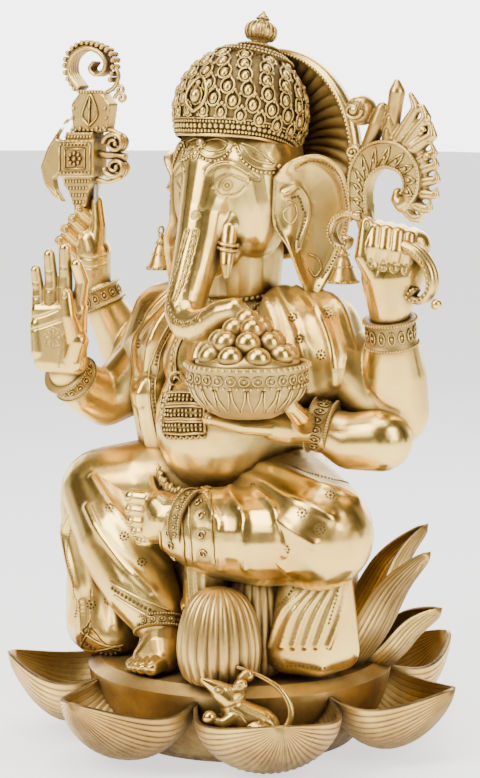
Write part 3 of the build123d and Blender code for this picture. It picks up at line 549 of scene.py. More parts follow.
class Wax:
    """A fused wax model that can be chased before it is cast."""

    def __init__(self, bm, grain, smoothing=6):
        mesh = bpy.data.meshes.new("wax")
        bm.to_mesh(mesh)
        bm.free()
        self.mesh = finished(
            mesh,
            ("REMESH", {"mode": "VOXEL", "voxel_size": grain, "use_smooth_shade": True}),
            ("SMOOTH", {"factor": 0.5, "iterations": smoothing}),
        )
        count = len(self.mesh.vertices)
        self.co = np.empty(count * 3, np.float32)
        self.mesh.vertices.foreach_get("co", self.co)
        self.co = self.co.reshape(-1, 3)
        self.wash = np.zeros(count, np.float32)
        self.renew()

    def renew(self):
        """Takes the surface as it now stands for the next lines."""
        self.mesh.vertices.foreach_set("co", self.co.reshape(-1))
        self.mesh.update()
        self.normal = np.array([v.vector for v in self.mesh.vertex_normals], np.float32)
        bm = bmesh.new()
        bm.from_mesh(self.mesh)
        self.tree = BVHTree.FromBMesh(bm)
        bm.free()

    def seen(self, *points):
        """Places on the surface under points of the viewing sheet, in mm right of and above its middle."""
        found = []
        for right, above in points:
            way = (target + across * right + upward * above - eye).normalized()
            hit = self.tree.ray_cast(eye, way)[0]
            if hit is None:
                hit = self.tree.find_nearest(eye + way * view_far)[0]
            found.append(hit)
        return found

    def facing(self, *points, way=(0, 1, 0)):
        """Places on the surface straight behind the given points."""
        way = Vector(way).normalized()
        found = []
        for point in points:
            start = Vector(point) - way * 400
            hit = self.tree.ray_cast(start, way)[0]
            found.append(hit or self.tree.find_nearest(Vector(point))[0])
        return found

    def snap(self, path, proud=0.0):
        """Moves each place of a path to the nearest surface, or a little proud of it."""
        found = []
        for place in path:
            hit, normal, _, _ = self.tree.find_nearest(Vector(place))
            found.append(hit + normal * proud)
        return found

    def draw(self, path, width, depth, wash=0.0, one_side=False):
        """Raises (depth above 0) or cuts (below 0) a rounded line along a path."""
        line = np.array([tuple(p) for p in path], np.float32)
        reach = width * 2.2
        low, high = line.min(0) - reach, line.max(0) + reach
        near = np.where(np.all((self.co > low) & (self.co < high), axis=1))[0]
        if not len(near):
            return
        places = self.co[near]
        distance = np.full(len(near), 1e9, np.float32)
        for point in line:
            distance = np.minimum(distance, ((places - point) ** 2).sum(1))
        distance = np.sqrt(distance)
        shape = np.exp(-((distance / width) ** 2) * 1.6)
        self.co[near] += self.normal[near] * (shape * depth)[:, None]
        if wash:
            mark = wash * np.exp(-((distance / max(0.85 * width, 1.25)) ** 2) * 1.6)
            self.wash[near] = np.maximum(self.wash[near], mark)

    def chased(self, path, width=1.6, depth=-1.2, wash=0.9):
        """A line cut with a chasing tool and left dark."""
        self.draw(self.snap(curve_through(path)), width, depth, wash)

    def fold(self, path, width=7.0, height=4.0):
        """A soft cloth fold: a rounded ridge raised along a line."""
        line = self.snap(curve_through(path, 3))
        self.draw(line, width, height)

    def push(self, centre, radius, depth, wash=0.0):
        """Pushes a round area in or out."""
        distance = np.sqrt(((self.co - np.array(tuple(centre), np.float32)) ** 2).sum(1))
        shape = np.exp(-((distance / radius) ** 2) * 1.5)
        self.co += self.normal * (shape * depth)[:, None]
        if wash:
            self.wash = np.maximum(self.wash, wash * shape)

    def cast(self, name, material, slot, *nodes, trim=None):
        """Makes the piece, with any separately modelled trim added to it."""
        self.mesh.vertices.foreach_set("co", self.co.reshape(-1))
        mark = self.mesh.attributes.new("wash", "FLOAT", "POINT")
        mark.data.foreach_set("value", self.wash)
        bm = bmesh.new()
        bm.from_mesh(self.mesh)
        if trim:
            extra = bpy.data.meshes.new("trim")
            trim.to_mesh(extra)
            trim.free()
            bm.from_mesh(extra)
        mesh = to_mesh(name, bm)
        return new_object(f"{name}_cast", mesh, material, slot, *nodes)


def dotted(trim, wax, path, radius=0.9, gap=1.6, proud=0.3):
    """A row of small punched-up dots along a line on the surface."""
    bead_row(trim, wax.snap(curve_through(path, 0.8), proud), radius, gap, 0.9)


def flower(trim, wax, centre, radius=4.2, dots=8):
    """A small flower of dots, as chased on the cloth."""
    hit, normal, _, _ = wax.tree.find_nearest(Vector(centre))
    side = normal.orthogonal().normalized()
    other = normal.cross(side)
    for k in range(dots):
        turn = 2 * math.pi * k / dots
        bead(trim, hit + (side * math.cos(turn) + other * math.sin(turn)) * radius, 1.05, dark=1.0)
    bead(trim, hit, 1.4, dark=1.0)


# Hips, thighs and seat: one casting under a dhoti whose folds run from the waist to the knees.
bm = bmesh.new()
skin_over(bm, (-40, 14, 250, 58), (40, 14, 250, 58), (0, 20, 150, 78), (0, 12, 118, 92))
chain(bm, (45, 8, 250, 60), (100, -26, 240, 60), (141, -44, 232, 56))
chain(bm, (-45, 8, 250, 56), (-100, -28, 246, 54), (-144, -48, 240, 49))
skin_over(bm, (-70, 0, 150, 50), (70, 0, 150, 50), (0, -20, 140, 50), (0, 40, 140, 60))
wax = Wax(bm, 2.6, 8)
for line in (
    ((-6, -84), (20, -94), (52, -112), (92, -132)),
    ((-8, -96), (12, -112), (40, -134), (74, -158)),
    ((-10, -108), (4, -130), (24, -156), (48, -184)),
    ((20, -78), (48, -84), (82, -98), (118, -112)),
    ((60, -66), (88, -72), (112, -84)),
):
    wax.fold(wax.seen(*line), 8, 3.5)
wax.renew()
trim = bmesh.new()
for place in ((33, -119), (63, -126), (82, -143), (46, -163), (92, -108), (12, -100)):
    flower(trim, wax, wax.seen(place)[0])
for line in (((24, -70), (66, -84), (104, -94), (124, -110)), ((-8, -118), (2, -150), (10, -180))):
    dotted(trim, wax, wax.seen(*line))
wax.cast("lower_body", polished, "polished_brass", "lower_body", trim=trim)

# Left shin, folded across the lap: a trouser leg with two woven bands, gathered at the ankle.
bm = bmesh.new()
chain(bm, (141, -50, 231, 47), (92, -66, 226, 49), (44, -76, 225, 46), (14, -84, 228, 38))
wax = Wax(bm, 1.9, 7)
for line in (
    ((-30, -98), (-24, -130), (-22, -160), (-20, -182)),
    ((-8, -92), (0, -122), (4, -150), (6, -182)),
    ((12, -88), (28, -112), (40, -138), (46, -168)),
    ((36, -92), (56, -112), (72, -134), (80, -158)),
):
    wax.fold(wax.seen(*line), 6, 3)
wax.renew()
trim = bmesh.new()
for left, right in ((-84, -61), (-54, -31)):
    rows = []
    for edge in (left, right):
        line = wax.seen((edge + 2, -98), (edge + 1, -118), (edge + 2, -138), (edge + 4, -158), (edge + 6, -177))
        rows.append(line)
        wire(trim, wax.snap(curve_through(line), 0.6), 1.2)
    count = 7
    first, second = (curve_through(row, 1.5) for row in rows)
    for k in range(count):
        share = (k + 0.5) / count
        a, b = first[int(share * (len(first) - 1))], second[int(share * (len(second) - 1))]
        hit, normal, _, _ = wax.tree.find_nearest((a + b) / 2)
        side = (b - a).normalized()
        rise = normal.cross(side)
        curl = [
            hit + side * (math.cos(t) * (5 - t * 0.55)) + rise * (math.sin(t) * (5 - t * 0.55)) + normal * 0.5
            for t in [j * 0.35 for j in range(20)]
        ]
        wire(trim, wax.snap(curl, 0.5), 0.9)
        wax.push(hit, 7, -0.8, 0.8)
wax.cast("left_shin", polished, "polished_brass", "left_shin", trim=trim)

# Feet: each cast with five toes, nails and a ring round the ankle.


def foot(name, ankle, heel, ball, toes, toe_way, up, nail_size):
    """A foot from the ankle to the toes; toes are places of the toe roots, big toe first."""
    bm = bmesh.new()
    chain(bm, ankle, heel)
    skin_over(bm, heel, *ball)
    for number, (place, length, radius) in enumerate(toes):
        tip = Vector(place) + Vector(toe_way) * length
        skin_over(bm, (*place, radius * 1.05), (*tip, radius))
    wax = Wax(bm, 1.0, 3)
    for number, (place, length, radius) in enumerate(toes):
        nail = Vector(place) + Vector(toe_way) * (length + 1) + Vector(up) * radius
        hit = wax.snap([nail])[0]
        side = Vector(toe_way).cross(Vector(up)).normalized()
        size = nail_size * radius / 7
        ring = [
            hit + side * math.cos(t) * size * 0.75 + Vector(toe_way) * (math.sin(t) * size - size * 0.2)
            for t in [k * math.pi / 8 for k in range(17)]
        ]
        wax.draw(wax.snap(ring), 0.9, -0.9, 0.9)
    wax.cast(name, polished, "polished_brass", name)
    return wax


foot(
    "left_foot",
    (10, -90, 236, 27),
    (-4, -98, 236, 25),
    ((-14, -102, 246, 18), (-18, -104, 226, 16)),
    (
        ((-28, -108, 255, ), 16, 8.5),
        ((-32, -110, 242), 13, 7),
        ((-31, -111, 231), 11, 6.5),
        ((-28, -111, 221), 10, 6),
        ((-24, -110, 212), 8, 5.5),
    ),
    (-0.92, -0.35, 0.05),
    (-0.3, -0.9, 0.3),
    6,
)
foot(
    "right_foot",
    (-14, -98, 124, 24),
    (-10, -104, 108, 22),
    ((4, -118, 98, 15), (-16, -122, 97, 14)),
    (
        ((8, -128, 96), 12, 8.5),
        ((-2, -131, 95), 12, 6.8),
        ((-11, -132, 94), 10, 6.3),
        ((-19, -131, 93), 9, 5.8),
        ((-26, -128, 93), 7, 5.4),
    ),
    (0.1, -0.99, -0.15),
    (0, -0.5, 0.85),
    6,
)

# Right shin and the cloth over it: the cloth hangs from the knee to a patterned hem on the lotus.
bm = bmesh.new()
chain(bm, (-144, -50, 240, 48), (-96, -76, 200, 46), (-52, -92, 160, 38), (-20, -98, 132, 28))
wax = Wax(bm, 1.8, 8)
for line in (
    ((-150, -90), (-130, -120), (-104, -150), (-76, -180)),
    ((-120, -92), (-106, -122), (-92, -152), (-74, -176)),
    ((-156, -120), (-140, -150), (-116, -180), (-90, -206)),
):
    wax.fold(wax.seen(*line), 6, 3)
wax.renew()
trim = bmesh.new()
band = (((-132, -196), (-104, -212), (-72, -226)), ((-128, -210), (-101, -227), (-72, -240)))
for line in band:
    wire(trim, wax.snap(curve_through(wax.seen(*line)), 0.6), 1.2)
dotted(trim, wax, wax.seen((-130, -203), (-102, -220), (-72, -233)), 1.8, 1.2)
for place in ((-133, -121), (-118, -150), (-100, -176)):
    flower(trim, wax, wax.seen(place)[0])
wax.cast("right_shin", polished, "polished_brass", "right_shin", trim=trim)

bm = bmesh.new()
skin_over(bm, (-146, -52, 226, 46), (-150, -56, 160, 34), (-128, -78, 150, 30))
skin_over(bm, (-150, -56, 160, 34), (-148, -60, 104, 34), (-120, -82, 104, 30), (-96, -86, 102, 26), (-122, -76, 150, 28))
wax = Wax(bm, 1.8, 8)
for line in (
    ((-186, -110), (-178, -150), (-172, -190), (-172, -236)),
    ((-170, -104), (-158, -150), (-150, -196), (-150, -244)),
    ((-150, -110), (-140, -150), (-130, -190), (-126, -240)),
    ((-180, -140), (-172, -180), (-162, -220), (-160, -246)),
):
    wax.fold(wax.seen(*line), 6, 3.5)
wax.renew()
trim = bmesh.new()
for low in (-240, -256, -262):
    line = wax.seen((-184, low + 6), (-160, low - 8), (-132, low - 22), (-106, low - 34))
    wire(trim, wax.snap(curve_through(line), 0.6), 1.3)
dotted(trim, wax, wax.seen((-184, -242), (-160, -256), (-132, -270), (-106, -282)), 2.2, 1.15)
dotted(trim, wax, wax.seen((-186, -120), (-176, -160), (-170, -200), (-168, -234)))
for place in ((-144, -71), (-168, -103), (-160, -135), (-181, -178), (-184, -218), (-134, -215)):
    flower(trim, wax, wax.seen(place)[0])
wax.cast("right_leg_cloth", polished, "polished_brass", "right_leg_cloth", trim=trim)


# Front pleats: the waistcloth's end, folded into pleats that fall between the legs.
bm = bmesh.new()
skin_over(bm, (24, -76, 200, 22), (34, -76, 200, 22), (30, -82, 110, 26), (38, -84, 104, 18), (20, -88, 104, 16))
wax = Wax(bm, 1.8, 6)
for start in (-68, -60, -52, -44, -36):
    wax.fold(wax.seen((start, -176), (start + 1, -200), (start + 3, -226), (start + 6, -250)), 3.2, 2.8)
wax.renew()
trim = bmesh.new()
for place in ((-56, -190), (-46, -214), (-56, -226)):
    flower(trim, wax, wax.seen(place)[0], 3.5)
wax.cast("front_pleats", polished, "polished_brass", "front_pleats", trim=trim)

# Knee drape: the dhoti's loose end, falling in pleats from the left knee to the lotus.
bm = bmesh.new()
skin_over(bm, (134, -10, 246, 24), (140, -44, 225, 24), (120, -44, 190, 20), (136, -20, 190, 22))
skin_over(bm, (120, -44, 190, 20), (138, -20, 190, 22), (112, -54, 112, 22), (132, -34, 108, 22), (142, -10, 110, 20))
wax = Wax(bm, 1.8, 6)
for start, end in ((84, 30), (92, 42), (100, 54), (106, 66), (112, 78), (116, 90)):
    wax.fold(wax.seen((start, -150), (start - 8, -190), (end + 12, -228), (end, -262)), 3.6, 3.2)
wax.renew()
trim = bmesh.new()
for line in (
    ((30, -236), (52, -206), (84, -168), (104, -132)),
    ((36, -280), (60, -282), (86, -284)),
    ((112, -104), (116, -140), (104, -190), (90, -240)),
):
    dotted(trim, wax, wax.seen(*line), 1.1)
wax.cast("knee_drape", polished, "polished_brass", "knee_drape", trim=trim)

# Torso: belly, chest, shoulders and back in one hollow casting.
bm = bmesh.new()
skin_over(bm, (0, -6, 325, 83), (0, 4, 345, 78))
skin_over(bm, (30, -4, 395, 50), (-30, -4, 395, 50), (34, -30, 385, 34), (-34, -30, 385, 34), (0, 20, 380, 55))
skin_over(bm, (70, 4, 405, 42), (-70, 4, 405, 42), (0, 4, 415, 42), (0, 20, 360, 55))
chain(bm, (0, 4, 420, 42), (0, 4, 455, 38))
wax = Wax(bm, 2.5, 8)
for line in (((-30, 60), (-44, 40), (-52, 12)), ((16, 40), (26, 10), (20, -20))):
    wax.fold(wax.seen(*line), 8, 3)
wax.cast("torso", polished, "polished_brass", "torso")
torso_wax = wax


# Arms: four hollow castings. The upper pair rise from the elbows, the lower pair reach forward.
def arm(name, *balls):
    bm = bmesh.new()
    chain(bm, *balls)
    wax = Wax(bm, 1.8, 8)
    return wax


wax = arm("upper_left_arm", (112, 5, 408, 38), (150, 20, 372, 36), (180, 28, 347, 33))
made = bmesh.new()
made.from_mesh(wax.mesh)
chain(made, (180, 28, 347, 33), (184, 20, 385, 32), (189, 10, 420, 25), (192, 3, 436, 20))
wax = Wax(made, 1.8, 8)
wax.push((150, -10, 392), 24, 2)
wax.chased(((178, -4, 372), (190, -6, 360), (204, 2, 352)), 2.2, -1.4, 0.6)
wax.cast("upper_left_arm", polished, "polished_brass", "upper_left_arm")
arm("upper_right_arm", (-112, 5, 408, 37), (-150, 14, 380, 33), (-172, 20, 370, 31), (-184, 10, 404, 26), (-199, -2, 440, 19)).cast(
    "upper_right_arm", polished, "polished_brass", "upper_right_arm"
)
arm("lower_left_arm", (186, -2, 324, 31), (160, -16, 322, 28), (140, -26, 331, 22), (129, -30, 336, 19)).cast(
    "lower_left_arm", polished, "polished_brass", "lower_left_arm"
)
arm(
    "lower_right_arm", (-112, 0, 392, 34), (-140, -25, 350, 32), (-152, -42, 339, 30), (-153, -72, 352, 26), (-150, -97, 371, 20)
).cast("lower_right_arm", polished, "polished_brass", "lower_right_arm")


# Bracelets and anklets: rings with a raised key band between two rolled and milled edges.
def cuff(name, centre, along, radius, width, thickness):
    bm = bmesh.new()
    centre, along = Vector(centre), Vector(along).normalized()
    side = along.orthogonal().normalized()
    other = along.cross(side)
    profile = (
        (-0.5, -1.4), (-0.5, 0.7), (-0.44, 1), (-0.38, 0.7), (-0.34, 0.45), (-0.24, 0.35), (0.24, 0.35),
        (0.34, 0.45), (0.38, 0.7), (0.44, 1), (0.5, 0.7), (0.5, -1.4),
    )
    steps = 72
    rings = []
    for k in range(steps):
        turn = 2 * math.pi * k / steps
        out = side * math.cos(turn) + other * math.sin(turn)
        rings.append([bm.verts.new(centre + along * a * width + out * (radius + r * thickness)) for a, r in profile])
    for k in range(steps):
        here, there = rings[k], rings[(k + 1) % steps]
        for j in range(len(profile)):
            after = (j + 1) % len(profile)
            bm.faces.new((here[j], here[after], there[after], there[j]))
    bmesh.ops.recalc_face_normals(bm, faces=bm.faces)
    darken(bm, 0.55)
    count = int(2 * math.pi * radius / 9)
    for k in range(count):
        turn = 2 * math.pi * k / count
        out = side * math.cos(turn) + other * math.sin(turn)
        round_about = other * math.cos(turn) - side * math.sin(turn)
        middle = centre + out * (radius + 0.55 * thickness)
        bead(bm, middle, 1.7)
        loop = [
            middle + (along * math.cos(t) * 0.22 * width + round_about * math.sin(t) * 3.2)
            for t in [j * math.pi / 5 for j in range(11)]
        ]
        wire(bm, loop, 0.7, 5)
    mills = int(2 * math.pi * radius / 2.4)
    for k in range(mills):
        turn = 2 * math.pi * k / mills
        out = side * math.cos(turn) + other * math.sin(turn)
        for edge in (-0.44, 0.44):
            bead(bm, centre + along * edge * width + out * (radius + 1.05 * thickness), 1.1)
    new_object(f"{name}_cast", to_mesh(name, bm), antique, "antique_brass", name)


cuff("upper_left_bracelet", (192, 4, 430), (0.06, -0.22, 0.95), 22, 28, 4)
cuff("upper_right_bracelet", (-199, -2, 440), (-0.3, -0.25, 0.92), 21, 20, 4)
cuff("lower_left_bracelet", (133, -27, 335), (-0.9, -0.38, 0.15), 23, 24, 4)
cuff("lower_right_bracelet", (-151, -93, 368), (0.05, -0.82, 0.56), 22, 20, 4)
cuff("left_anklet", (22, -96, 238), (-0.97, -0.1, 0.08), 27, 14, 3.5)
cuff("right_anklet", (-14, -102, 126), (0.35, -0.35, -0.85), 24, 12, 3.5)


# Hands: each is modelled finger by finger, then the creases and nails are chased.
class Hand:
    """A hand in its own frame: e to the viewer's right along the palm, Z up, n out of the palm."""

    def __init__(self, origin, e, n, rise=(0, 0, 1)):
        self.origin, self.e, self.n, self.rise = Vector(origin), Vector(e), Vector(n), Vector(rise)
        self.bm = bmesh.new()

    def place(self, a, b, c=0.0):
        return self.origin + self.e * a + self.rise * b + self.n * c

    def ball(self, a, b, c, radius):
        return (*self.place(a, b, c), radius)

    def hull(self, *balls):
        skin_over(self.bm, *[self.ball(*one) for one in balls])

    def finger(self, *balls):
        chain(self.bm, *[self.ball(*one) for one in balls])

    def wax(self, grain=1.0, smoothing=3):
        return Wax(self.bm, grain, smoothing)

    def nail(self, wax, a, b, c, size=4.5, way=(0, 1)):
        middle = self.place(a, b, c)
        along = (self.e * way[0] + self.rise * way[1]).normalized()
        side = along.cross(self.n).normalized()
        ring = [
            middle + side * math.cos(t) * size * 0.75 + along * math.sin(t) * size
            for t in [k * math.pi / 8 for k in range(17)]
        ]
        wax.draw(wax.snap(ring), 0.8, -0.9, 0.85)


blessing = Hand((-146, -112, 420), (0.906, 0.42, 0), (0.42, -0.906, 0))
blessing.hull((-18, -36, 0, 11), (16, -38, 0, 12), (-23, 16, 0, 8.5), (21, 18, 0, 8.5))
blessing.hull((16, -30, 4, 11), (22, -14, 7, 11), (16, 0, 3, 9))
blessing.hull((-22, -26, 3, 9), (-24, 2, 2, 8))
for base_a, tip_a, base_b, tip_b, radius in (
    (-24, -26, 18, 57, 6.4), (-9.5, -11, 20, 73, 7), (6, 6, 22, 80, 7.2),
):
    middle_b = (base_b + tip_b) / 2
    blessing.finger(
        (base_a, base_b, 0, radius + 0.6), (base_a, middle_b, -1, radius), (tip_a, tip_b, 1, radius - 1)
    )
blessing.finger((20, 20, 0, 8), (24, 46, -1, 7), (20, 64, 4, 6.3))
blessing.finger((19, -10, 8, 10), (15, 12, 14, 7.5), (12, 34, 13, 6.6))
wax = blessing.wax()
for line in (
    ((24, 12, 8), (12, -4, 10), (4, -24, 10), (2, -40, 10)),
    ((26, 14, 8), (6, 8, 10), (-16, 0, 10), (-28, -4, 8)),
    ((-30, 8, 8), (-14, 12, 10), (0, 18, 10)),
):
    wax.chased(wax.snap([blessing.place(*p) for p in line]), 1.3, -0.9, 0.7)
for a, levels in ((-25, (30, 44)), (-10, (38, 56)), (6, (40, 61))):
    for b in levels:
        wax.chased([blessing.place(a - 6, b, 8), blessing.place(a, b - 1, 8), blessing.place(a + 6, b, 8)], 1.0, -0.7, 0.7)
wax.renew()
trim = bmesh.new()
for petal in range(8):
    turn = petal * math.pi / 4
    loop = [
        blessing.place(
            -4 + 9 * math.sin(t / 2) * math.cos(turn + 0.3 * math.sin(t)),
            -10 + 9 * math.sin(t / 2) * math.sin(turn + 0.3 * math.sin(t)),
            12,
        )
        for t in [k * math.pi / 6 for k in range(13)]
    ]
    wax.draw(wax.snap(loop), 0.8, -0.8, 0.9)
blessing.nail(wax, 12, 36, 20, 4)
wax.cast("lower_right_hand", polished, "polished_brass", "lower_right_hand", trim=trim)

holding = Hand((-207, -2, 487), (0.743, 0.669, 0), (0.669, -0.743, 0))
holding.hull((0, 0, 0, 18), (-2, -26, 0, 15), (-4, 12, 0, 15), (0, -44, 2, 17))
holding.finger((3, 8, 6, 10), (5, 28, 6, 8.2), (3, 54, 4, 6.6))
for a, b in ((-14, 44), (-21, 33), (-29, 22), (-35, 10)):
    holding.finger((a + 16, b - 14, -2, 9), (a + 4, b - 3, 3, 7.6), (a - 1, b + 2, 6, 6.4))
wax = holding.wax()
for a, b in ((-15, 47), (-23, 36), (-31, 25), (-37, 12)):
    holding.nail(wax, a, b, 12, 3.6, (-0.5, 0.7))
for b in (-4, -14):
    wax.chased([holding.place(-16, b, 14), holding.place(-2, b - 2, 18), holding.place(14, b + 2, 14)], 1.2, -0.8, 0.7)
wax.cast("upper_right_hand", polished, "polished_brass", "upper_right_hand")

fist = Hand((196, 0, 497), (0.743, 0.669, 0), (0.669, -0.743, 0))
fist.hull((-8, -14, 2, 22), (10, -12, 0, 22), (20, 0, -4, 19), (-2, -46, 0, 20))
fist.hull((22, 16, -6, 16), (-4, 16, -6, 16), (0, 0, 0, 18))
for a, b, radius in ((-19, 24, 7.4), (-8, 22, 7.6), (3, 20, 7.6), (14, 17, 7)):
    fist.finger((a + 6, b + 8, -8, 9), (a + 2, b + 8, 8, radius), (a, b - 8, 16, radius), (a - 2, b - 20, 13, radius - 0.8))
fist.finger((-14, -14, 10, 12), (-28, 6, 10, 8.6), (-25, 38, 8, 6.8))
wax = fist.wax()
for a, b in ((-22, 0), (-10, -1), (1, -3), (12, -5)):
    fist.nail(wax, a, b, 24, 3.8, (0, -1))
fist.nail(wax, -25, 38, 17, 4)
wax.cast("upper_left_hand", polished, "polished_brass", "upper_left_hand")

serving = Hand((112, -62, 336), (0.743, 0.669, 0), (0.669, -0.743, 0))
bm = serving.bm
skin_over(bm, (128, -32, 335, 19), (118, -56, 336, 17), (104, -66, 337, 15))
for number, (tip, radius) in enumerate((((70, -118, 346), 7), ((60, -112, 345), 7), ((52, -102, 343), 6.8), ((50, -90, 341), 6.2))):
    root = Vector((112 - number * 3, -66 + number * 6, 335))
    middle = root.lerp(Vector(tip), 0.55) + Vector((0, 0, -3))
    chain(bm, (*root, radius + 2), (*middle, radius + 0.6), (*tip, radius - 0.6))
chain(bm, (130, -50, 340, 12), (142, -72, 350, 9), (146, -90, 362, 7.5), (146, -96, 374, 6.2))
wax = serving.wax()
wax.cast("lower_left_hand", polished, "polished_brass", "lower_left_hand")

# Head: one hollow casting. Brows, lids and the hair fringe's jewels are chased on the wax.
bm = bmesh.new()
skin_over(
    bm, (0, 6, 592, 61), (22, -6, 585, 47), (-22, -6, 585, 47), (34, -8, 550, 37), (-34, -8, 550, 37),
    (30, -12, 525, 31), (-30, -12, 525, 31),
)
skin_over(bm, (0, 4, 455, 38), (0, 4, 500, 42))
skin_over(bm, (0, -30, 580, 40), (0, -44, 560, 27), (0, -52, 540, 25.5))
skin_over(bm, (0, -20, 520, 38), (0, -52, 540, 25.5), (0, -56, 522, 24.5))
chain(bm, (0, -52, 540, 25.5), (0, -58, 515, 24.2))
skin_over(bm, (16, -38, 500, 14), (-16, -38, 500, 14), (0, -44, 488, 14))
skin_over(bm, (24, -42, 524, 13), (26, -26, 538, 18))
skin_over(bm, (-24, -42, 524, 13), (-26, -26, 538, 18))
wax = Wax(bm, 1.2, 8)


def both(*points):
    """The same line on the figure's left and right."""
    return [[Vector(p) for p in points], [Vector((-p[0], p[1], p[2])) for p in points]]


brow_top = wax.seen((-36.7, 223.5), (-31.6, 228.1), (-20.8, 233.2), (-10.2, 233.2), (1, 227.6), (11.9, 219.5), (18.7, 214.7))
brow_low = wax.seen((-33, 219.5), (-26.2, 224.8), (-15.3, 226.9), (-4.4, 224.1), (6.5, 218), (18.3, 213.3))
brow_core = wax.seen((-33, 222.5), (-28, 227), (-18, 230), (-8, 230), (0, 225.5), (8, 220))
lid = wax.seen((-25.5, 204.4), (-23.4, 209.8), (-18, 214), (-9.9, 215.1), (-0.3, 211.8), (8.6, 209.2))
crease = wax.seen((-26, 210.8), (-21.4, 216.9), (-14.3, 219.1), (-4.1, 217.9), (7.1, 212.8))
low_lid = wax.seen((-24.4, 204.2), (-18, 199), (-9.9, 198.7), (-1.6, 202.3), (4.6, 208))
pupil = wax.seen((-12.6, 207.1))[0]
for side in both(pupil):
    wax.push(side[0], 19, -4)
wax.renew()
for side in both(pupil):
    wax.push(side[0], 9, 4)
for line in both(*brow_core):
    wax.draw(wax.snap(curve_through(line)), 3.6, 2.0)
for line in both(*lid):
    wax.draw(wax.snap([p + Vector((0, 0, 1.8)) for p in curve_through(line)]), 1.9, 1.8)
for line in both(*low_lid):
    wax.draw(wax.snap([p - Vector((0, 0, 1.5)) for p in curve_through(line)]), 1.7, 1.2)
wax.renew()
for line in both(*brow_top) + both(*brow_low) + both(*lid) + both(*low_lid):
    wax.draw(wax.snap(curve_through(line, 0.8)), 1.15, -1.2, 1.0)
for line in both(*crease):
    wax.draw(wax.snap(curve_through(line, 0.8)), 1.1, -0.9, 0.8)
for side in both(pupil):
    hit, normal, _, _ = wax.tree.find_nearest(side[0])
    flat = Vector((normal.y, -normal.x, 0)).normalized()
    rise = flat.cross(normal)
    for size, deep in ((5.4, -0.8), (2.3, -1.2)):
        ring = [hit + (flat * math.cos(t) + rise * math.sin(t)) * size for t in [k * math.pi / 9 for k in range(19)]]
        wax.draw(wax.snap(ring), 0.95, deep, 1.0)
for line in both((36, -52, 512), (30, -56, 502), (20, -58, 500)):
    wax.draw(wax.snap(curve_through(line)), 3, -2, 0.4)
wax.renew()
head_wax = wax
trim = bmesh.new()


def swag(points, drop=True):
    """A hanging chain of jewels: a cord, small beads along it and drops below."""
    path = curve_through(points, 0.8)
    for line in both(*wax.snap(path, 0.7)):
        wire(trim, line, 1.0)
    for line in both(*wax.snap([p + Vector((0, 0, -3.6)) for p in path], 0.9)):
        bead_row(trim, line, 1.7, 1.05)
    if drop:
        for line in both(*wax.snap([p + Vector((0, 0, -8.0)) for p in path], 0.6)):
            bead_row(trim, line, 1.2, 2.0)


swag(wax.seen((-44.6, 248), (-39.8, 239.8), (-30.3, 235.7), (-18, 238.5), (-7.1, 248)), False)
swag(wax.seen((-4.4, 252.1), (1, 239.8), (9.2, 230.3), (20.2, 224.8), (36.5, 223.5)), False)
for points in (
    ((-39.7, 247.5), (-33.6, 252.5), (-23.4, 254.6), (-13.2, 251.5)), ((-37, 246), (-30, 242.5), (-20, 243.5), (-13, 249)),
    ((1, 250.5), (12.2, 246.4), (24.4, 238.3), (34.6, 230.1)), ((3, 247), (11, 237), (20, 231.5), (33, 229)),
):
    path = wax.seen(*points)
    for line in both(*wax.snap(curve_through(path, 1), 0.5)):
        wire(trim, line, 1.1)
strap = wax.seen((39.7, 226.1), (41.8, 212.8), (39.7, 201.6))
for line in both(*strap):
    path = wax.snap(curve_through(line, 1.0), 0.8)
    wire(trim, path, 2.6)
    bead_row(trim, path, 3.2, 1.0)
for above, size in ((608, 5.0), (597, 3.6)):
    hit = wax.facing((0, 0, above))[0]
    bead(trim, hit, size, (1, 0.7, 1.25), fine=True)
    loop = [hit + Vector((math.sin(t) * size * 1.35, 0, math.cos(t) * size * 1.7)) for t in [k * math.pi / 8 for k in range(17)]]
    wire(trim, wax.snap(loop, 0.6), 0.9)
wax.cast("head", polished, "polished_brass", "head", trim=trim)

# Trunk: cast with the head's skin line, then hung with three beaded ribbons that end in curls.
trunk_line = [
    (0, -50, 546, 26), (0, -52, 540, 26), (0, -58, 515, 24.6), (0, -63, 500, 23.4), (1, -72, 478, 21.8),
    (3, -82, 458, 20.4), (7, -91, 444, 19), (18, -98, 434, 17.4), (34, -101, 432, 16), (50, -101, 437, 15),
    (66, -99, 447, 13.6), (80, -97, 451, 12), (89, -95, 445, 10),
]
bm = bmesh.new()
chain(bm, *trunk_line)
wax = Wax(bm, 1.1, 8)
for number in range(16):
    share = number / 15
    path = curve_through([Vector(p[:3]) for p in trunk_line[2:11]], 1)
    place = path[int(share * (len(path) - 1))]
    ahead = (path[min(int(share * (len(path) - 1)) + 2, len(path) - 1)] - place).normalized()
    out = Vector((0, -1, -0.4)).normalized()
    side = ahead.cross(out).normalized()
    start = [place + out * 18 + side * k for k in (-9, 0, 9)]
    wax.draw(wax.snap(start), 1.6, -0.35, 0.25)
wax.renew()
trim = bmesh.new()


def ribbon(line, width, hooks=True):
    """Two chased lines with a running scroll of small hooks between them."""
    path = curve_through(line, 1.0)
    for shift in (-width, width):
        wax.draw(wax.snap([p + across * shift for p in path]), 1.0, -0.7, 0.95)
    if hooks:
        for number, place in enumerate(path[::5]):
            way = 1 if number % 2 else -1
            hook = [
                place + across * (way * (width * 0.2 + 2.6 * math.cos(t))) + Vector((0, 0, 2.6 * math.sin(t)))
                for t in [k * 0.7 for k in range(7)]
            ]
            wire(trim, wax.snap(hook, 0.2), 0.75, 5)


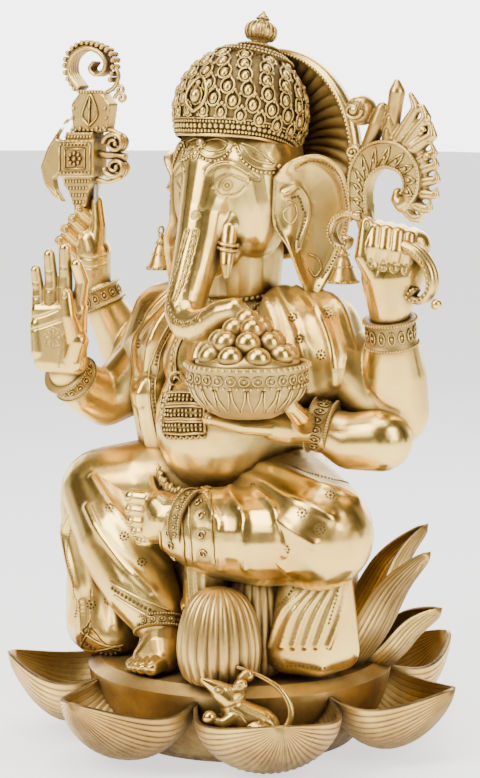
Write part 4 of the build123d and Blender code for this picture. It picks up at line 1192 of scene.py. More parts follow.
ribbon(wax.seen((-54, 160.9), (-58, 146.6), (-63.1, 129.3), (-69.2, 109), (-74.3, 90.6), (-73, 82.5)), 2.6)
ribbon(wax.seen((-44.8, 160.9), (-49.9, 141.5), (-55, 123.2), (-60.1, 106.9), (-67.2, 90.6)), 2.4)
ribbon(wax.seen((-73, 82.5), (-69, 72.3), (-59.1, 66.2), (-46.8, 70.3), (-34.6, 81.5), (-24.4, 88.6)), 2.6)
for right, above, size in ((-46, 176, 5), (-38, 186, 5)):
    middle = wax.seen((right, above))[0]
    scroll = [
        middle + across * math.cos(t) * size * (1 - t / 14) + Vector((0, 0, 1)) * math.sin(t) * size * (1 - t / 14)
        for t in [k * 0.4 for k in range(30)]
    ]
    wax.draw(wax.snap(scroll), 0.8, -0.5, 0.8)
tip_rim = [Vector((92, -95, 441)) + Vector((5 * math.cos(t), 9 * math.sin(t), -6 * math.cos(t))) for t in [k * 0.4 for k in range(17)]]
wire(trim, tip_rim, 1.8)
wax.cast("trunk", polished, "polished_brass", "trunk", trim=trim)

# Tusks: the left one is whole with two rings, the right one is the broken stub of the story.
bm = bmesh.new()
chain(bm, (27, -46, 524, 9), (30, -52, 506, 8), (33, -57, 490, 6.4), (35, -59, 478, 3.6))
wax = Wax(bm, 0.9, 3)
trim = bmesh.new()
for level, size in ((510, 9.4), (505, 9.2)):
    middle = Vector((27, -46, 524)).lerp(Vector((31, -53, 502)), (524 - level) / 22)
    ring = [
        middle + Vector((math.cos(t) * size, math.sin(t) * size, -math.cos(t) * 2))
        for t in [k * math.pi / 12 for k in range(25)]
    ]
    wire(trim, ring, 1.7)
    for place in ring[::2]:
        bead(trim, place * 1.0, 1.9)
wax.cast("left_tusk", polished, "polished_brass", "left_tusk", trim=trim)
bm = bmesh.new()
chain(bm, (-25, -48, 522, 8.4), (-29, -53, 506, 7))
trim = bmesh.new()
middle = Vector((-28, -51, 511))
ring = [middle + Vector((math.cos(t) * 8.6, math.sin(t) * 8.6, math.cos(t) * 2)) for t in [k * math.pi / 12 for k in range(25)]]
wire(trim, ring, 1.7)
Wax(bm, 0.9, 2).cast("right_tusk", polished, "polished_brass", "right_tusk", trim=trim)

# Ears: fan shaped plates cupped forward, with a beaded rim, an inner fold and a dotted flap.
ear_outline = (
    (-6, 575), (10, 592), (38, 598), (60, 585), (69, 560), (71, 535), (62, 500), (45, 468), (33, 453),
    (22, 470), (8, 505), (-6, 530),
)
ear_middle = (34, 545)
for side, name in ((1, "left_ear"), (-1, "right_ear")):
    root = Vector((side * 66, -17, 0))
    along = Vector((side * 0.67, 0.74, 0)).normalized()
    front = Vector((side * 0.74, -0.67, 0)).normalized()

    def on_ear(s, z, lift=0.0):
        return root + along * s + Vector((0, 0, z)) + front * lift

    closed = [Vector((s, z, 0)) for s, z in ear_outline]
    smooth = curve_through(closed + [closed[0]], 3)[:-1]
    bm = bmesh.new()
    back_ring = [bm.verts.new(on_ear(p.x, p.y, -4)) for p in smooth]
    front_ring = [bm.verts.new(on_ear(p.x, p.y, 4)) for p in smooth]
    bm.faces.new(back_ring)
    bm.faces.new(list(reversed(front_ring)))
    for k in range(len(smooth)):
        after = (k + 1) % len(smooth)
        bm.faces.new((back_ring[k], back_ring[after], front_ring[after], front_ring[k]))
    bmesh.ops.recalc_face_normals(bm, faces=bm.faces)
    wax = Wax(bm, 1.5, 6)
    flat = wax.co - np.array(tuple(root), np.float32)
    s = flat @ np.array(tuple(along), np.float32)
    z = flat[:, 2]
    rim = np.full(len(s), 1e9, np.float32)
    for p in smooth:
        rim = np.minimum(rim, (s - p.x) ** 2 + (z - p.y) ** 2)
    rim = np.sqrt(rim)
    dish = 6 * np.exp(-((rim / 7) ** 2)) - 5 * (1 - np.exp(-((rim / 22) ** 2)))
    dish += 7 * np.exp(-(((s - 8) / 12) ** 2)) + 4 * np.sin(s / 70 * 3.1)
    wax.co += np.array(tuple(front), np.float32) * dish[:, None]
    wax.wash = np.clip(0.32 * (1 - np.exp(-(((rim - 4) / 10) ** 2))), 0, 1).astype(np.float32) * (rim > 4)
    wax.renew()
    inner = [on_ear(*p, 8) for p in ((14, 584), (34, 590), (54, 576), (62, 552), (62, 530), (54, 504), (42, 478))]
    wax.draw(wax.snap(curve_through(inner)), 2.2, -1.6, 0.8)
    fold = [on_ear(*p, 8) for p in ((6, 560), (18, 566), (28, 556), (30, 536), (22, 514), (14, 500))]
    wax.draw(wax.snap(curve_through(fold)), 4.2, 4.5)
    wax.renew()
    wax.draw(wax.snap(curve_through([p + along * 6 for p in fold])), 2.6, -1.6, 0.8)
    wax.renew()
    trim = bmesh.new()
    dotted(trim, wax, [on_ear(*p, 8) for p in ((10, 586), (36, 593), (58, 580), (66, 556), (67, 534), (58, 500), (42, 470), (34, 458))], 1.1, 1.3)
    dotted(trim, wax, [on_ear(*p, 8) for p in ((12, 555), (20, 556), (24, 545), (24, 530), (17, 512))], 1.2, 1.3)
    for line in (((8, 552), (16, 548), (18, 538), (10, 530), (4, 540), (10, 548)), ((30, 500), (38, 496), (42, 486), (36, 478), (30, 486))):
        wire(trim, wax.snap(curve_through([on_ear(*p, 8) for p in line]), 0.5), 1.0)
    wax.cast(name, polished, "polished_brass", name, trim=trim)

# Earrings: bells with a stacked top, hung from a ring through each ear's lower edge.
bm = bmesh.new()
for side in (1, -1):
    centre = Vector((side * 124, 14, 487))
    profile = (
        (0.5, 24), (2.5, 23), (3.5, 20), (2.2, 18), (4, 16), (6, 13), (4.5, 11), (6.5, 9), (8, 5), (9.5, 0),
        (11.5, -5), (14, -10), (15.5, -12), (15.5, -15), (13, -15), (0.5, -13),
    )
    steps = 28
    rings = []
    for k in range(steps):
        turn = 2 * math.pi * k / steps
        out = Vector((math.cos(turn), math.sin(turn), 0))
        rings.append([bm.verts.new(centre + out * r + Vector((0, 0, h))) for r, h in profile])
    for k in range(steps):
        here, there = rings[k], rings[(k + 1) % steps]
        for j in range(len(profile)):
            after = (j + 1) % len(profile)
            bm.faces.new((here[j], here[after], there[after], there[j]))
    for count, radius, level, size in ((18, 15, -13.5, 1.7), (14, 9, 1, 1.3), (10, 5.6, 13, 1.2)):
        for k in range(count):
            turn = 2 * math.pi * k / count
            bead(bm, centre + Vector((math.cos(turn) * radius, math.sin(turn) * radius, level)), size)
    wire(bm, [centre + Vector((0, math.cos(t) * 4, 26 + math.sin(t) * 4)) for t in [k * math.pi / 8 for k in range(17)]], 1.2)
bmesh.ops.recalc_face_normals(bm, faces=bm.faces)
new_object("earrings_cast", to_mesh("earrings", bm), antique, "antique_brass", "earrings")

# Crown: a dome covered with leaf-shaped cabochons over a row of florets and a beaded brim.
crown_lean = Matrix.Rotation(math.radians(-17.5), 3, "X")


def on_crown(polar, turn, radius, centre=(0, 1, 635)):
    """A place on the tilted dome: polar angle from its top, turn from its front, in degrees."""
    p, t = math.radians(polar), math.radians(turn)
    way = Vector((math.sin(p) * math.sin(t), -math.sin(p) * math.cos(t), math.cos(p)))
    return Vector(centre) + crown_lean @ (way * radius)


dome_radius = 65.5
bm = bmesh.new()
profile = [(math.sin(math.radians(a)) * dome_radius, math.cos(math.radians(a)) * dome_radius) for a in range(26, 122, 4)]
steps = 96
top_level, low_level = profile[0][1], profile[-1][1]
profile = [(20, top_level - 6)] + profile + [(46, low_level + 2)]
rings = []
for k in range(steps):
    turn = 2 * math.pi * k / steps
    rings.append(
        [bm.verts.new(Vector((0, 1, 635)) + crown_lean @ Vector((r * math.sin(turn), -r * math.cos(turn), h))) for r, h in profile]
    )
for k in range(steps):
    here, there = rings[k], rings[(k + 1) % steps]
    for j in range(len(profile)):
        after = (j + 1) % len(profile)
        bm.faces.new((here[j], here[after], there[after], there[j]))
bmesh.ops.recalc_face_normals(bm, faces=bm.faces)
darken(bm, 0.85)
rows = ((40, 11), (53, 15), (66, 18), (79, 20), (91, 21), (102, 21))
for number, (polar, count) in enumerate(rows):
    for k in range(count):
        turn = (k + 0.5 * (number % 2)) * 360 / count
        if abs(turn - 180) < 42 and polar > 60:
            continue
        middle = on_crown(polar, turn, dome_radius + 1.5)
        out = (middle - Vector((0, 1, 635))).normalized()
        down = (on_crown(polar + 4, turn, dome_radius) - on_crown(polar, turn, dome_radius)).normalized()
        side = down.cross(out).normalized()
        axes = Matrix((side, down, out)).transposed()
        size = 1.0 if polar < 96 else 0.8
        bead(bm, middle + down * 1, 1, (4.4 * size, 5.8 * size, 3.6 * size), axes, fine=True)
        loop = [
            middle + out * 0.2 + side * (math.sin(t) * 6.8 * size) + down * (-math.cos(t) * 8.2 * size - (3.2 if math.cos(t) > 0.97 else 0))
            for t in [j * math.pi / 9 for j in range(19)]
        ]
        wire(bm, loop, 1.25, 5)
        bead(bm, middle - down * 10.5 * size + out * 0.6, 2.0)
        for lean_side in (-1, 1):
            bead(bm, middle + side * lean_side * 6.6 * size + down * 6.4 * size + out * 0.8, 1.6)
for polar, radius, size, gap in ((112, 67, 2.6, 1.0), (116, 68, 1.7, 1.0), (108, 67, 1.5, 1.05)):
    row = [on_crown(polar + 3.5 * math.cos(math.radians(turn * 2)), turn, radius) for turn in np.arange(0, 360, 0.8)]
    bead_row(bm, row, size, gap)
for polar, radius, size in ((119.5, 67, 2.0), (105.5, 66.5, 1.1)):
    row = [on_crown(polar + 3.5 * math.cos(math.radians(turn * 2)), turn, radius) for turn in np.arange(0, 361, 3)]
    wire(bm, row, size)
leaf = [on_crown(*p, dome_radius + 4) for p in ((104, 0), (97, -9), (86, -10), (74, 0), (86, 10), (97, 9), (104, 0))]
wire(bm, curve_through(leaf), 1.8)
bead(bm, on_crown(91, 0, dome_radius + 3), 6, (1, 1, 1.2), fine=True)
bead(bm, on_crown(80, 0, dome_radius + 4), 3)
new_object("crown_dome_cast", to_mesh("crown_dome", bm), antique, "antique_brass", "crown_dome")


def turned(bm, centre, lean, profile, steps=64):
    """A closed turned shape about a leaning axis; the profile is (radius, height) from its centre."""
    rings = []
    for k in range(steps):
        turn = 2 * math.pi * k / steps
        rings.append(
            [bm.verts.new(Vector(centre) + lean @ Vector((r * math.sin(turn), -r * math.cos(turn), h))) for r, h in profile]
        )
    for k in range(steps):
        here, there = rings[k], rings[(k + 1) % steps]
        for j in range(len(profile)):
            after = (j + 1) % len(profile)
            bm.faces.new((here[j], here[after], there[after], there[j]))


# Crown ring: a band of roundels and crosses between rolled edges, with stepped beaded rows above.
bm = bmesh.new()
ring_centre = (0, 19, 682)
turned(
    bm, ring_centre, crown_lean,
    ((20, -12), (37, -12), (40, -11), (40.5, -8.5), (38, -7), (38, 6), (40, 7.5), (39.5, 10), (34, 11), (33, 14), (28, 15.5), (20, 15.5)),
)
bmesh.ops.recalc_face_normals(bm, faces=bm.faces)
darken(bm, 0.7)


def on_ring(turn, radius, height):
    return Vector(ring_centre) + crown_lean @ Vector((radius * math.sin(turn), -radius * math.cos(turn), height))


for k in range(14):
    turn = 2 * math.pi * k / 14
    middle = on_ring(turn, 38.6, -0.5)
    bead(bm, middle, 2.2)
    loop = [on_ring(turn + 0.105 * math.sin(t), 38.6, -0.5 + 4.6 * math.cos(t)) for t in [j * math.pi / 7 for j in range(15)]]
    wire(bm, loop, 0.9, 5)
    cross = turn + math.pi / 14
    for way in (-1, 1):
        wire(bm, [on_ring(cross + 0.09 * way * s, 38.6, 5.5 * s) for s in (-1, -0.4, 0.4, 1)], 0.9, 5)
for radius, height, size in ((39.8, 8.8, 1.6), (39.9, -9.6, 1.8), (33.2, 12.6, 2.0)):
    bead_row(bm, [on_ring(t, radius, height) for t in np.arange(0, 2 * math.pi, 0.01)], size, 1.05)
new_object("crown_ring_cast", to_mesh("crown_ring", bm), antique, "antique_brass", "crown_ring")

# Finial: a turned flange, a fluted ball and a pointed tip, screwed to the ring with a stud.
bm = bmesh.new()
upright = Matrix.Rotation(math.radians(-14), 3, "X")
turned(
    bm, (0, 25, 692), upright,
    ((1, 0), (24, 0), (25, 3), (22, 6), (20, 7), (21, 10), (18, 12.5), (9, 14), (8, 16), (13, 19), (16, 25), (15, 31), (9, 36), (5, 37.5), (6.5, 40), (5, 43), (2.5, 45), (1.5, 47.5), (0.4, 48)),
)
bmesh.ops.recalc_face_normals(bm, faces=bm.faces)
for k in range(18):
    turn = 2 * math.pi * k / 18
    flute = [
        Vector((0, 25, 692)) + upright @ Vector((r * math.sin(turn), -r * math.cos(turn), h))
        for r, h in ((12.6, 18.5), (15.9, 24), (15.2, 31), (9.5, 36))
    ]
    wire(bm, curve_through(flute), 1.0, 5)
for radius, height, size in ((24.6, 3, 1.7), (20.8, 10, 1.6), (6.2, 40, 1.1)):
    row = [Vector((0, 25, 692)) + upright @ Vector((radius * math.sin(t), -radius * math.cos(t), height)) for t in np.arange(0, 2 * math.pi, 0.02)]
    bead_row(bm, row, size, 1.05)
new_object("crown_finial_cast", to_mesh("crown_finial", bm), antique, "antique_brass", "crown_finial")

# Halo wheel behind the crown: a shallow dish of curved flutes inside a milled rim.
bm = bmesh.new()
wheel_centre = Vector((0, 66, 594))
flutes, spokes = 46, 46 * 8
radii = [22, 30, 40, 50, 60, 70, 80, 88, 94, 97]


def on_wheel(turn, radius, depth):
    return wheel_centre + Vector((radius * math.sin(turn), -depth, radius * math.cos(turn)))


rings = []
for k in range(spokes):
    turn = 2 * math.pi * k / spokes
    row = []
    for radius in radii:
        swirl = turn + 0.32 * (radius - 22) / 75
        groove = abs(math.sin(turn * flutes / 2)) ** 0.7
        depth = 6 + 9 * (radius / 97) ** 2 - 5.0 * (1 - groove) * min(1, (radius - 16) / 40)
        row.append(on_wheel(swirl, radius, depth))
    for radius, depth in ((99, 15), (101, 16.5), (104, 16.5), (107, 14), (108, 8), (106, 1), (97, 0), (60, -3), (22, -4)):
        row.append(on_wheel(turn + 0.32, radius, depth))
    rings.append([bm.verts.new(p) for p in row])
for k in range(spokes):
    here, there = rings[k], rings[(k + 1) % spokes]
    for j in range(len(here)):
        after = (j + 1) % len(here)
        bm.faces.new((here[j], here[after], there[after], there[j]))
bmesh.ops.recalc_face_normals(bm, faces=bm.faces)
for k in range(150):
    turn = 2 * math.pi * k / 150
    bead(bm, on_wheel(turn, 102.5, 16.5), 1.8, (1, 1, 1))
new_object("crown_wheel_cast", to_mesh("crown_wheel", bm), antique, "antique_brass", "crown_wheel")

# Necklace: a collar of flat links over a row of beads, with a comb of pendants at the left.
bm = bmesh.new()
neck_rows = []
for radius, level, dip in ((41, 463, 12), (45, 455, 16), (50, 446, 24)):
    neck_rows.append(
        [
            Vector((radius * math.sin(t), 4 - radius * math.cos(t) * (0.95 + 0.1 * math.cos(t)), level - dip * (0.5 + 0.5 * math.cos(t))))
            for t in np.arange(0, 2 * math.pi, 0.02)
        ]
    )
shoulders = torso_wax
bead_row(bm, shoulders.snap(neck_rows[0], 1.8), 2.6, 1.02)
wire(bm, shoulders.snap(neck_rows[1], 1.2)[::3], 2.0)
bead_row(bm, shoulders.snap(neck_rows[1], 3.0), 1.5, 1.05)
bead_row(bm, shoulders.snap(neck_rows[2], 1.6), 2.4, 1.05)
for k in range(30):
    t = 2 * math.pi * (k + 0.5) / 30
    top = Vector((51 * math.sin(t), 4 - 51 * math.cos(t), 440 - 24 * (0.5 + 0.5 * math.cos(t))))
    hit, normal, _, _ = shoulders.tree.find_nearest(top)
    drop = hit + normal * 1.5 - Vector((0, 0, 5))
    bead(bm, drop, 1, (2.6, 2.6, 4.6), fine=True)
new_object("necklace_cast", to_mesh("necklace", bm), antique, "antique_brass", "necklace")


# Shawls: a cloth over each shoulder, cast apart and brazed on, with folds and a dotted border.
def shawl(name, side, hulls, folds, borders, flowers):
    bm = bmesh.new()
    for balls in hulls:
        skin_over(bm, *[(side * x, y, z, r) for x, y, z, r in balls])
    wax = Wax(bm, 1.9, 8)
    for line in folds:
        wax.fold([Vector((side * x, y, z)) for x, y, z in line], 6, 3.4)
    wax.renew()
    trim = bmesh.new()
    for line in borders:
        points = [Vector((side * x, y, z)) for x, y, z in line]
        path = wax.snap(curve_through(points), 0.4)
        wire(trim, path, 1.2)
        out = [p + Vector((-side * 5, 0, 0)) for p in curve_through(points)]
        dotted(trim, wax, out, 1.4, 1.3)
        wire(trim, wax.snap([p + Vector((-side * 10, 0, 0)) for p in curve_through(points)], 0.4), 0.9)
    for place in flowers:
        flower(trim, wax, (side * place[0], place[1], place[2]))
    wax.cast(name, polished, "polished_brass", name, trim=trim)


shawl(
    "shawl_left",
    1,
    (
        ((44, 8, 446, 18), (58, 2, 446, 22), (108, 6, 424, 37), (122, 2, 392, 38)),
        ((122, 2, 392, 38), (108, -16, 372, 24), (84, -30, 400, 20), (60, -14, 440, 18)),
        ((108, -16, 372, 24), (98, -34, 366, 18), (112, 8, 362, 26)),
    ),
    (
        ((50, -16, 456), (76, -30, 430), (92, -44, 402), (98, -50, 372)),
        ((60, -10, 464), (94, -28, 440), (118, -38, 404), (120, -34, 370)),
        ((76, 0, 468), (112, -16, 452), (140, -26, 420), (142, -20, 380)),
        ((88, 14, 466), (126, 2, 452), (156, -4, 414), (158, 4, 372)),
    ),
    (((46, -22, 446), (66, -38, 424), (78, -48, 398), (84, -50, 366)),),
    ((110, -36, 420), (132, -26, 404), (104, -44, 392), (96, -30, 440), (150, -8, 396), (124, -14, 440)),
)
shawl(
    "shawl_right",
    -1,
    (
        ((44, 6, 446, 18), (58, 0, 446, 22), (106, 4, 424, 37), (118, -4, 386, 36)),
        ((118, -4, 386, 36), (100, -14, 350, 30), (84, -30, 400, 22), (60, -14, 440, 18)),
        ((100, -14, 350, 30), (84, -18, 300, 28), (78, -12, 280, 24), (84, -40, 350, 18)),
    ),
    (
        ((52, -18, 452), (74, -34, 420), (84, -54, 380), (86, -58, 340)),
        ((64, -10, 462), (96, -30, 430), (106, -44, 390), (100, -46, 340)),
        ((86, -52, 350), (88, -48, 310), (84, -38, 276)),
        ((104, -38, 360), (104, -36, 320), (98, -28, 280)),
    ),
    (((46, -22, 446), (64, -38, 420), (72, -54, 384), (74, -56, 340), (72, -46, 290)),),
    ((96, -44, 400), (110, -30, 370), (90, -52, 350), (92, -44, 316), (104, -20, 420)),
)

# Waist frill: the gathered upper edge of the dhoti, a rope of small folds across the belly.
bm = bmesh.new()
edge_line = [(-84, -28, 292), (-70, -56, 270), (-44, -78, 256), (-10, -90, 249), (30, -86, 250), (62, -66, 256), (84, -32, 270), (86, 0, 280)]
path = curve_through(edge_line, 1.2)
for number, place in enumerate(path[::3]):
    hit, normal, _, _ = torso_wax.tree.find_nearest(place)
    out = hit.lerp(place, 0.5) + normal * 2
    bead(bm, out + Vector((0, 0, 2.2 * math.sin(number * 1.3))), 1, (3.6, 4.2, 6.2), Matrix.Rotation(0.5 * math.sin(number * 2.1), 3, "Y"), fine=True)
wire(bm, path, 4.0)
new_object("waist_frill_cast", to_mesh("waist_frill", bm), polished, "polished_brass", "waist_frill")

# Belly pendant: a framed plaque with three engraved fields, hung on a scrolled clasp.
bm = bmesh.new()
corners = torso_wax.seen((-76, -4), (-34, -4), (-34, -46), (-76, -46))
plaque_normal = (corners[1] - corners[0]).cross(corners[0] - corners[3]).normalized()
if plaque_normal.dot(look) < 0:
    plaque_normal = -plaque_normal


def on_plaque(u, v, lift=0.0):
    """A place on the plaque: u across and v down, each from 0 to 1."""
    top, low = corners[0].lerp(corners[1], u), corners[3].lerp(corners[2], u)
    return torso_wax.snap([top.lerp(low, v)], 1)[0] + plaque_normal * lift


for field in range(3):
    low_v, high_v = field / 3, (field + 1) / 3
    border = [(0, low_v + 0.03), (1, low_v + 0.03), (1, high_v - 0.03), (0, high_v - 0.03), (0, low_v + 0.03)]
    for (ua, va), (ub, vb) in zip(border, border[1:]):
        wire(bm, [on_plaque(ua + (ub - ua) * t, va + (vb - va) * t, 1.5) for t in (0, 0.25, 0.5, 0.75, 1)], 1.5)
    middle_v = (low_v + high_v) / 2
    for k in range(11):
        for shift in (-0.05, 0.05):
            bead(bm, on_plaque(0.08 + 0.084 * k, middle_v + shift, 1), 1.7)
for k in range(8):
    a, b = k / 8, (k + 1) / 8
    wire(bm, [on_plaque(a, 1.02, 1), on_plaque((a + b) / 2, 1.1, 1), on_plaque(b, 1.02, 1)], 1.1)
clasp = torso_wax.seen((-64, 9))[0]
curl = [clasp + plaque_normal * 2 + across * (math.cos(t) * (9 - t * 0.8)) + Vector((0, 0, math.sin(t) * (9 - t * 0.8))) for t in [k * 0.35 for k in range(28)]]
wire(bm, curl, 1.5)
wire(bm, torso_wax.snap(curve_through([clasp + across * 9, on_plaque(0.8, 0)]), 2), 2.2)
new_object("belly_pendant_cast", to_mesh("belly_pendant", bm), antique, "antique_brass", "belly_pendant")

# Garland: a folded ribbon with a twisted edge that runs from the collar down the right breast.
bm = bmesh.new()
for shift, size in ((-5, 1.3), (5, 1.3), (-2, 1.8), (2, 1.8)):
    line = [Vector(p) + across * shift for p in ((-34, -58, 424), (-34, -70, 402), (-32, -80, 380), (-30, -86, 350), (-28, -88, 326))]
    path = torso_wax.snap(curve_through(line), 1.6)
    wire(bm, path, size)
for line in (((-34, -58, 424), (-34, -70, 402), (-32, -80, 380), (-30, -86, 350), (-28, -88, 326)),):
    bead_row(bm, torso_wax.snap(curve_through(line), 3), 2.4, 1.1)
new_object("garland_cast", to_mesh("garland", bm), antique, "antique_brass", "garland")

# Bowl: turned brass with cast arches and a milled band; the sweets are one casting heaped in it.
bm = bmesh.new()
bowl_centre = Vector((105, -106, 403))
straight = Matrix.Identity(3)
turned(
    bm, bowl_centre, straight,
    (
        (57, 0), (59.5, 0.5), (60, -3), (58.5, -6), (57.4, -7), (57.2, -17), (58.2, -18.5), (56.6, -20.5), (53, -29), (46, -39),
        (37, -47), (27, -52), (24, -52), (35, -44), (44, -35), (50, -22), (52, -8), (52, 0),
    ),
    72,
)
bmesh.ops.recalc_face_normals(bm, faces=bm.faces)
darken(bm, 0.5)
for k in range(56):
    turn = 2 * math.pi * k / 56
    way = Vector((math.sin(turn), -math.cos(turn), 0))
    for radius, level, size in ((60, -1.5, 2.0), (58.4, -19, 1.5)):
        bead(bm, bowl_centre + way * radius + Vector((0, 0, level)), size)
for k in range(28):
    turn = 2 * math.pi * k / 28
    loop = [bowl_centre + Vector((57.6 * math.sin(turn + 0.085 * math.sin(t)), -57.6 * math.cos(turn + 0.085 * math.sin(t)), -12 + 4.4 * math.cos(t))) for t in [j * math.pi / 6 for j in range(13)]]
    wire(bm, loop, 0.9, 5)
    bead(bm, bowl_centre + Vector((57.6 * math.sin(turn), -57.6 * math.cos(turn), -12)), 1.8)
for k in range(22):
    turn = 2 * math.pi * k / 22
    leaf_line = []
    for offset, radius, level in ((-0.12, 56.6, -21), (-0.11, 53, -30), (-0.05, 46, -39), (0, 40.5, -44), (0.05, 46, -39), (0.11, 53, -30), (0.12, 56.6, -21)):
        leaf_line.append(bowl_centre + Vector((radius * math.sin(turn + offset), -radius * math.cos(turn + offset), level)))
    wire(bm, curve_through(leaf_line, 3), 1.1, 5)
new_object("bowl_cast", to_mesh("bowl", bm), antique, "antique_brass", "bowl")

bm = bmesh.new()
sweet_rows = ((9, 38, 7, 13), (7, 26, 20, 13), (4, 13, 31, 13), (1, 0, 38, 13))
for count, radius, rise, size in sweet_rows:
    for k in range(count):
        turn = 2 * math.pi * (k + 0.5 * (rise > 10)) / count + 0.3
        place = bowl_centre + Vector((radius * math.sin(turn), -radius * math.cos(turn), rise + chance.uniform(-1.5, 1.5)))
        bmesh.ops.create_icosphere(bm, subdivisions=4, radius=size * 0.95, matrix=Matrix.Translation(place))
turned(bm, bowl_centre, straight, ((0.5, -4), (50, -4), (50, 2), (30, 12), (14, 24), (0.5, 26)), 32)
bmesh.ops.recalc_face_normals(bm, faces=bm.faces)
mesh = to_mesh("sweets", bm)
new_object("sweets_cast", mesh, polished, "polished_brass", "sweets")

# Axe: a hooked blade on a carved box, cast as a thick fretwork, with beads and scrolls brazed on.
axe_way, axe_out = Vector((0.98, 0.19, 0)), Vector((0.19, -0.98, 0))


def slab(bm, outline, place, thick):
    """A flat plate cut to an outline, with slightly eased edges."""
    flat = bmesh.new()
    ring = [flat.verts.new(place(*p, -thick / 2)) for p in outline]
    face = flat.faces.new(ring)
    grown = bmesh.ops.extrude_face_region(flat, geom=[face])
    move = place(0, 0, thick) - place(0, 0, 0)
    bmesh.ops.translate(flat, vec=move, verts=[g for g in grown["geom"] if isinstance(g, bmesh.types.BMVert)])
    bmesh.ops.recalc_face_normals(flat, faces=flat.faces)
    part = bpy.data.meshes.new("slab")
    flat.to_mesh(part)
    flat.free()
    bm.from_mesh(part)
    bpy.data.meshes.remove(part)


def on_sheet(spot, depth_way, depth_level):
    """The place on an upright plane that the viewer sees at a spot of the viewing sheet."""
    way = (target + across * spot[0] + upward * spot[1] - eye).normalized()
    return eye + way * ((depth_level - eye.dot(depth_way)) / way.dot(depth_way))


def make_plane(depth_way, depth_level):
    def place(right, above, lift=0.0):
        return on_sheet((right, above), depth_way, depth_level) + depth_way * lift

    return place


on_axe = make_plane(axe_out, axe_out.dot(Vector((-205, -6, 570))))
axe_core = bmesh.new()
slab(axe_core, ((-178, 254), (-142, 254), (-142, 216), (-178, 216)), on_axe, 26)
slab(axe_core, ((-174, 218), (-146, 218), (-146, 208), (-150, 200), (-152, 186), (-164, 186), (-168, 200), (-174, 208)), on_axe, 22)
slab(axe_core, ((-172, 262), (-144, 262), (-144, 252), (-172, 252)), on_axe, 22)
slab(
    axe_core,
    ((-176, 250), (-186, 256), (-176, 274), (-173, 276), (-184, 262), (-194, 246), (-201, 226), (-197, 208), (-188, 196), (-178, 190), (-186, 204), (-188, 214), (-182, 220), (-176, 222)),
    on_axe,
    9,
)
chain(axe_core, (*on_axe(-158, 192), 8), (*on_axe(-157, 172), 8))
wax = Wax(axe_core, 1.1, 3)
trim = bmesh.new()
for inset in (1.5, 7):
    box_line = [(-178 + inset, 252 - inset), (-144 - inset, 252 - inset), (-144 - inset, 218 + inset), (-178 + inset, 218 + inset), (-178 + inset, 252 - inset)]
    for (ua, va), (ub, vb) in zip(box_line, box_line[1:]):
        wire(trim, [on_axe(ua, va, 13.5), on_axe((ua + ub) / 2, (va + vb) / 2, 13.5), on_axe(ub, vb, 13.5)], 1.2)
for k in range(8):
    turn = k * math.pi / 4
    bead(trim, on_axe(-161 + 5.6 * math.cos(turn), 235 + 5.6 * math.sin(turn), 14), 2.2)
bead(trim, on_axe(-161, 235, 14), 2.6)
for k in range(9):
    for u, v in ((-175 + 3.6 * k, 249.5), (-175 + 3.6 * k, 220.5)):
        bead(trim, on_axe(u, v, 14), 1.5)
for level, low, high in ((212, -172, -148), (205, -169, -150), (198, -166, -151), (191, -163, -153), (257, -171, -146)):
    count = int((high - low) / 3)
    for k in range(count + 1):
        bead(trim, on_axe(low + (high - low) * k / count, level, 11.5), 1.8)
for edge in (((-184, 258), (-192, 244), (-197, 226), (-193, 208), (-184, 197)),):
    wire(trim, curve_through([on_axe(*p, 4) for p in edge]), 0.9)


def spiral(bm, place, right, above, size, turns, way=1, start=0.0, lift=0.0, thick=2.2):
    """A flat scroll that winds in to its eye."""
    points = []
    steps = int(turns * 20)
    for k in range(steps + 1):
        share = k / steps
        t = start + way * share * turns * 2 * math.pi
        r = size * (1 - 0.82 * share)
        points.append(place(right + r * math.cos(t), above + r * math.sin(t), lift))
    wire(bm, points, thick, 6, lambda share: 1.15 - 0.5 * share)
    bead(bm, points[-1], thick * 1.15)


for right, above, size, start, way in ((-126, 250, 11, math.pi, -1), (-125, 226, 11, math.pi, 1)):
    for lift in (-5, 0, 5):
        spiral(trim, on_axe, right, above, size, 1.5, way, start, lift, 2.8)
wire(trim, curve_through([on_axe(-144, 240), on_axe(-136, 238), on_axe(-126, 238), on_axe(-116, 236)]), 4.5)
wire(trim, curve_through([on_axe(-144, 262, 4), on_axe(-130, 264, 4), on_axe(-118, 258, 4)]), 2.6)
wire(trim, curve_through([on_axe(-144, 214, 4), on_axe(-132, 211, 4), on_axe(-118, 216, 4)]), 2.6)
wax.cast("axe", antique, "antique_brass", "axe", trim=trim)

# Axe crest: a niche with a leaf, and over it a paisley scroll edged with balls.
bm = bmesh.new()
slab(bm, ((-166, 262), (-132, 262), (-128, 290), (-138, 304), (-158, 304), (-168, 290)), on_axe, 16)
trim = bmesh.new()
path = [(-160, 306), (-170, 322), (-168, 338), (-156, 347), (-142, 344), (-134, 334), (-136, 324), (-144, 320), (-150, 326), (-146, 333)]
curl = curve_through([on_axe(*p) for p in path])
for lift in (-6, -2, 2, 6):
    wire(trim, [p + axe_out * lift for p in curl], 3.2, 6, lambda share: 1.25 - 0.65 * share)
outer = curve_through([on_axe(*p) for p in ((-166, 306), (-175, 322), (-173, 341), (-159, 352), (-143, 350), (-129, 341), (-127, 328), (-130, 312))])
for lift in (-5, 0, 5):
    bead_row(trim, [p + axe_out * lift for p in outer], 3.1, 1.0)
wire(trim, curve_through([on_axe(*p, 3) for p in ((-134, 302), (-126, 308), (-122, 320), (-128, 330))]), 2.4)
for start, way in (((-128, 304), 1), ((-126, 296), 1)):
    spiral(trim, on_axe, start[0] + 6, start[1], 6.5, 1.2, -1, math.pi, 2, 1.9)
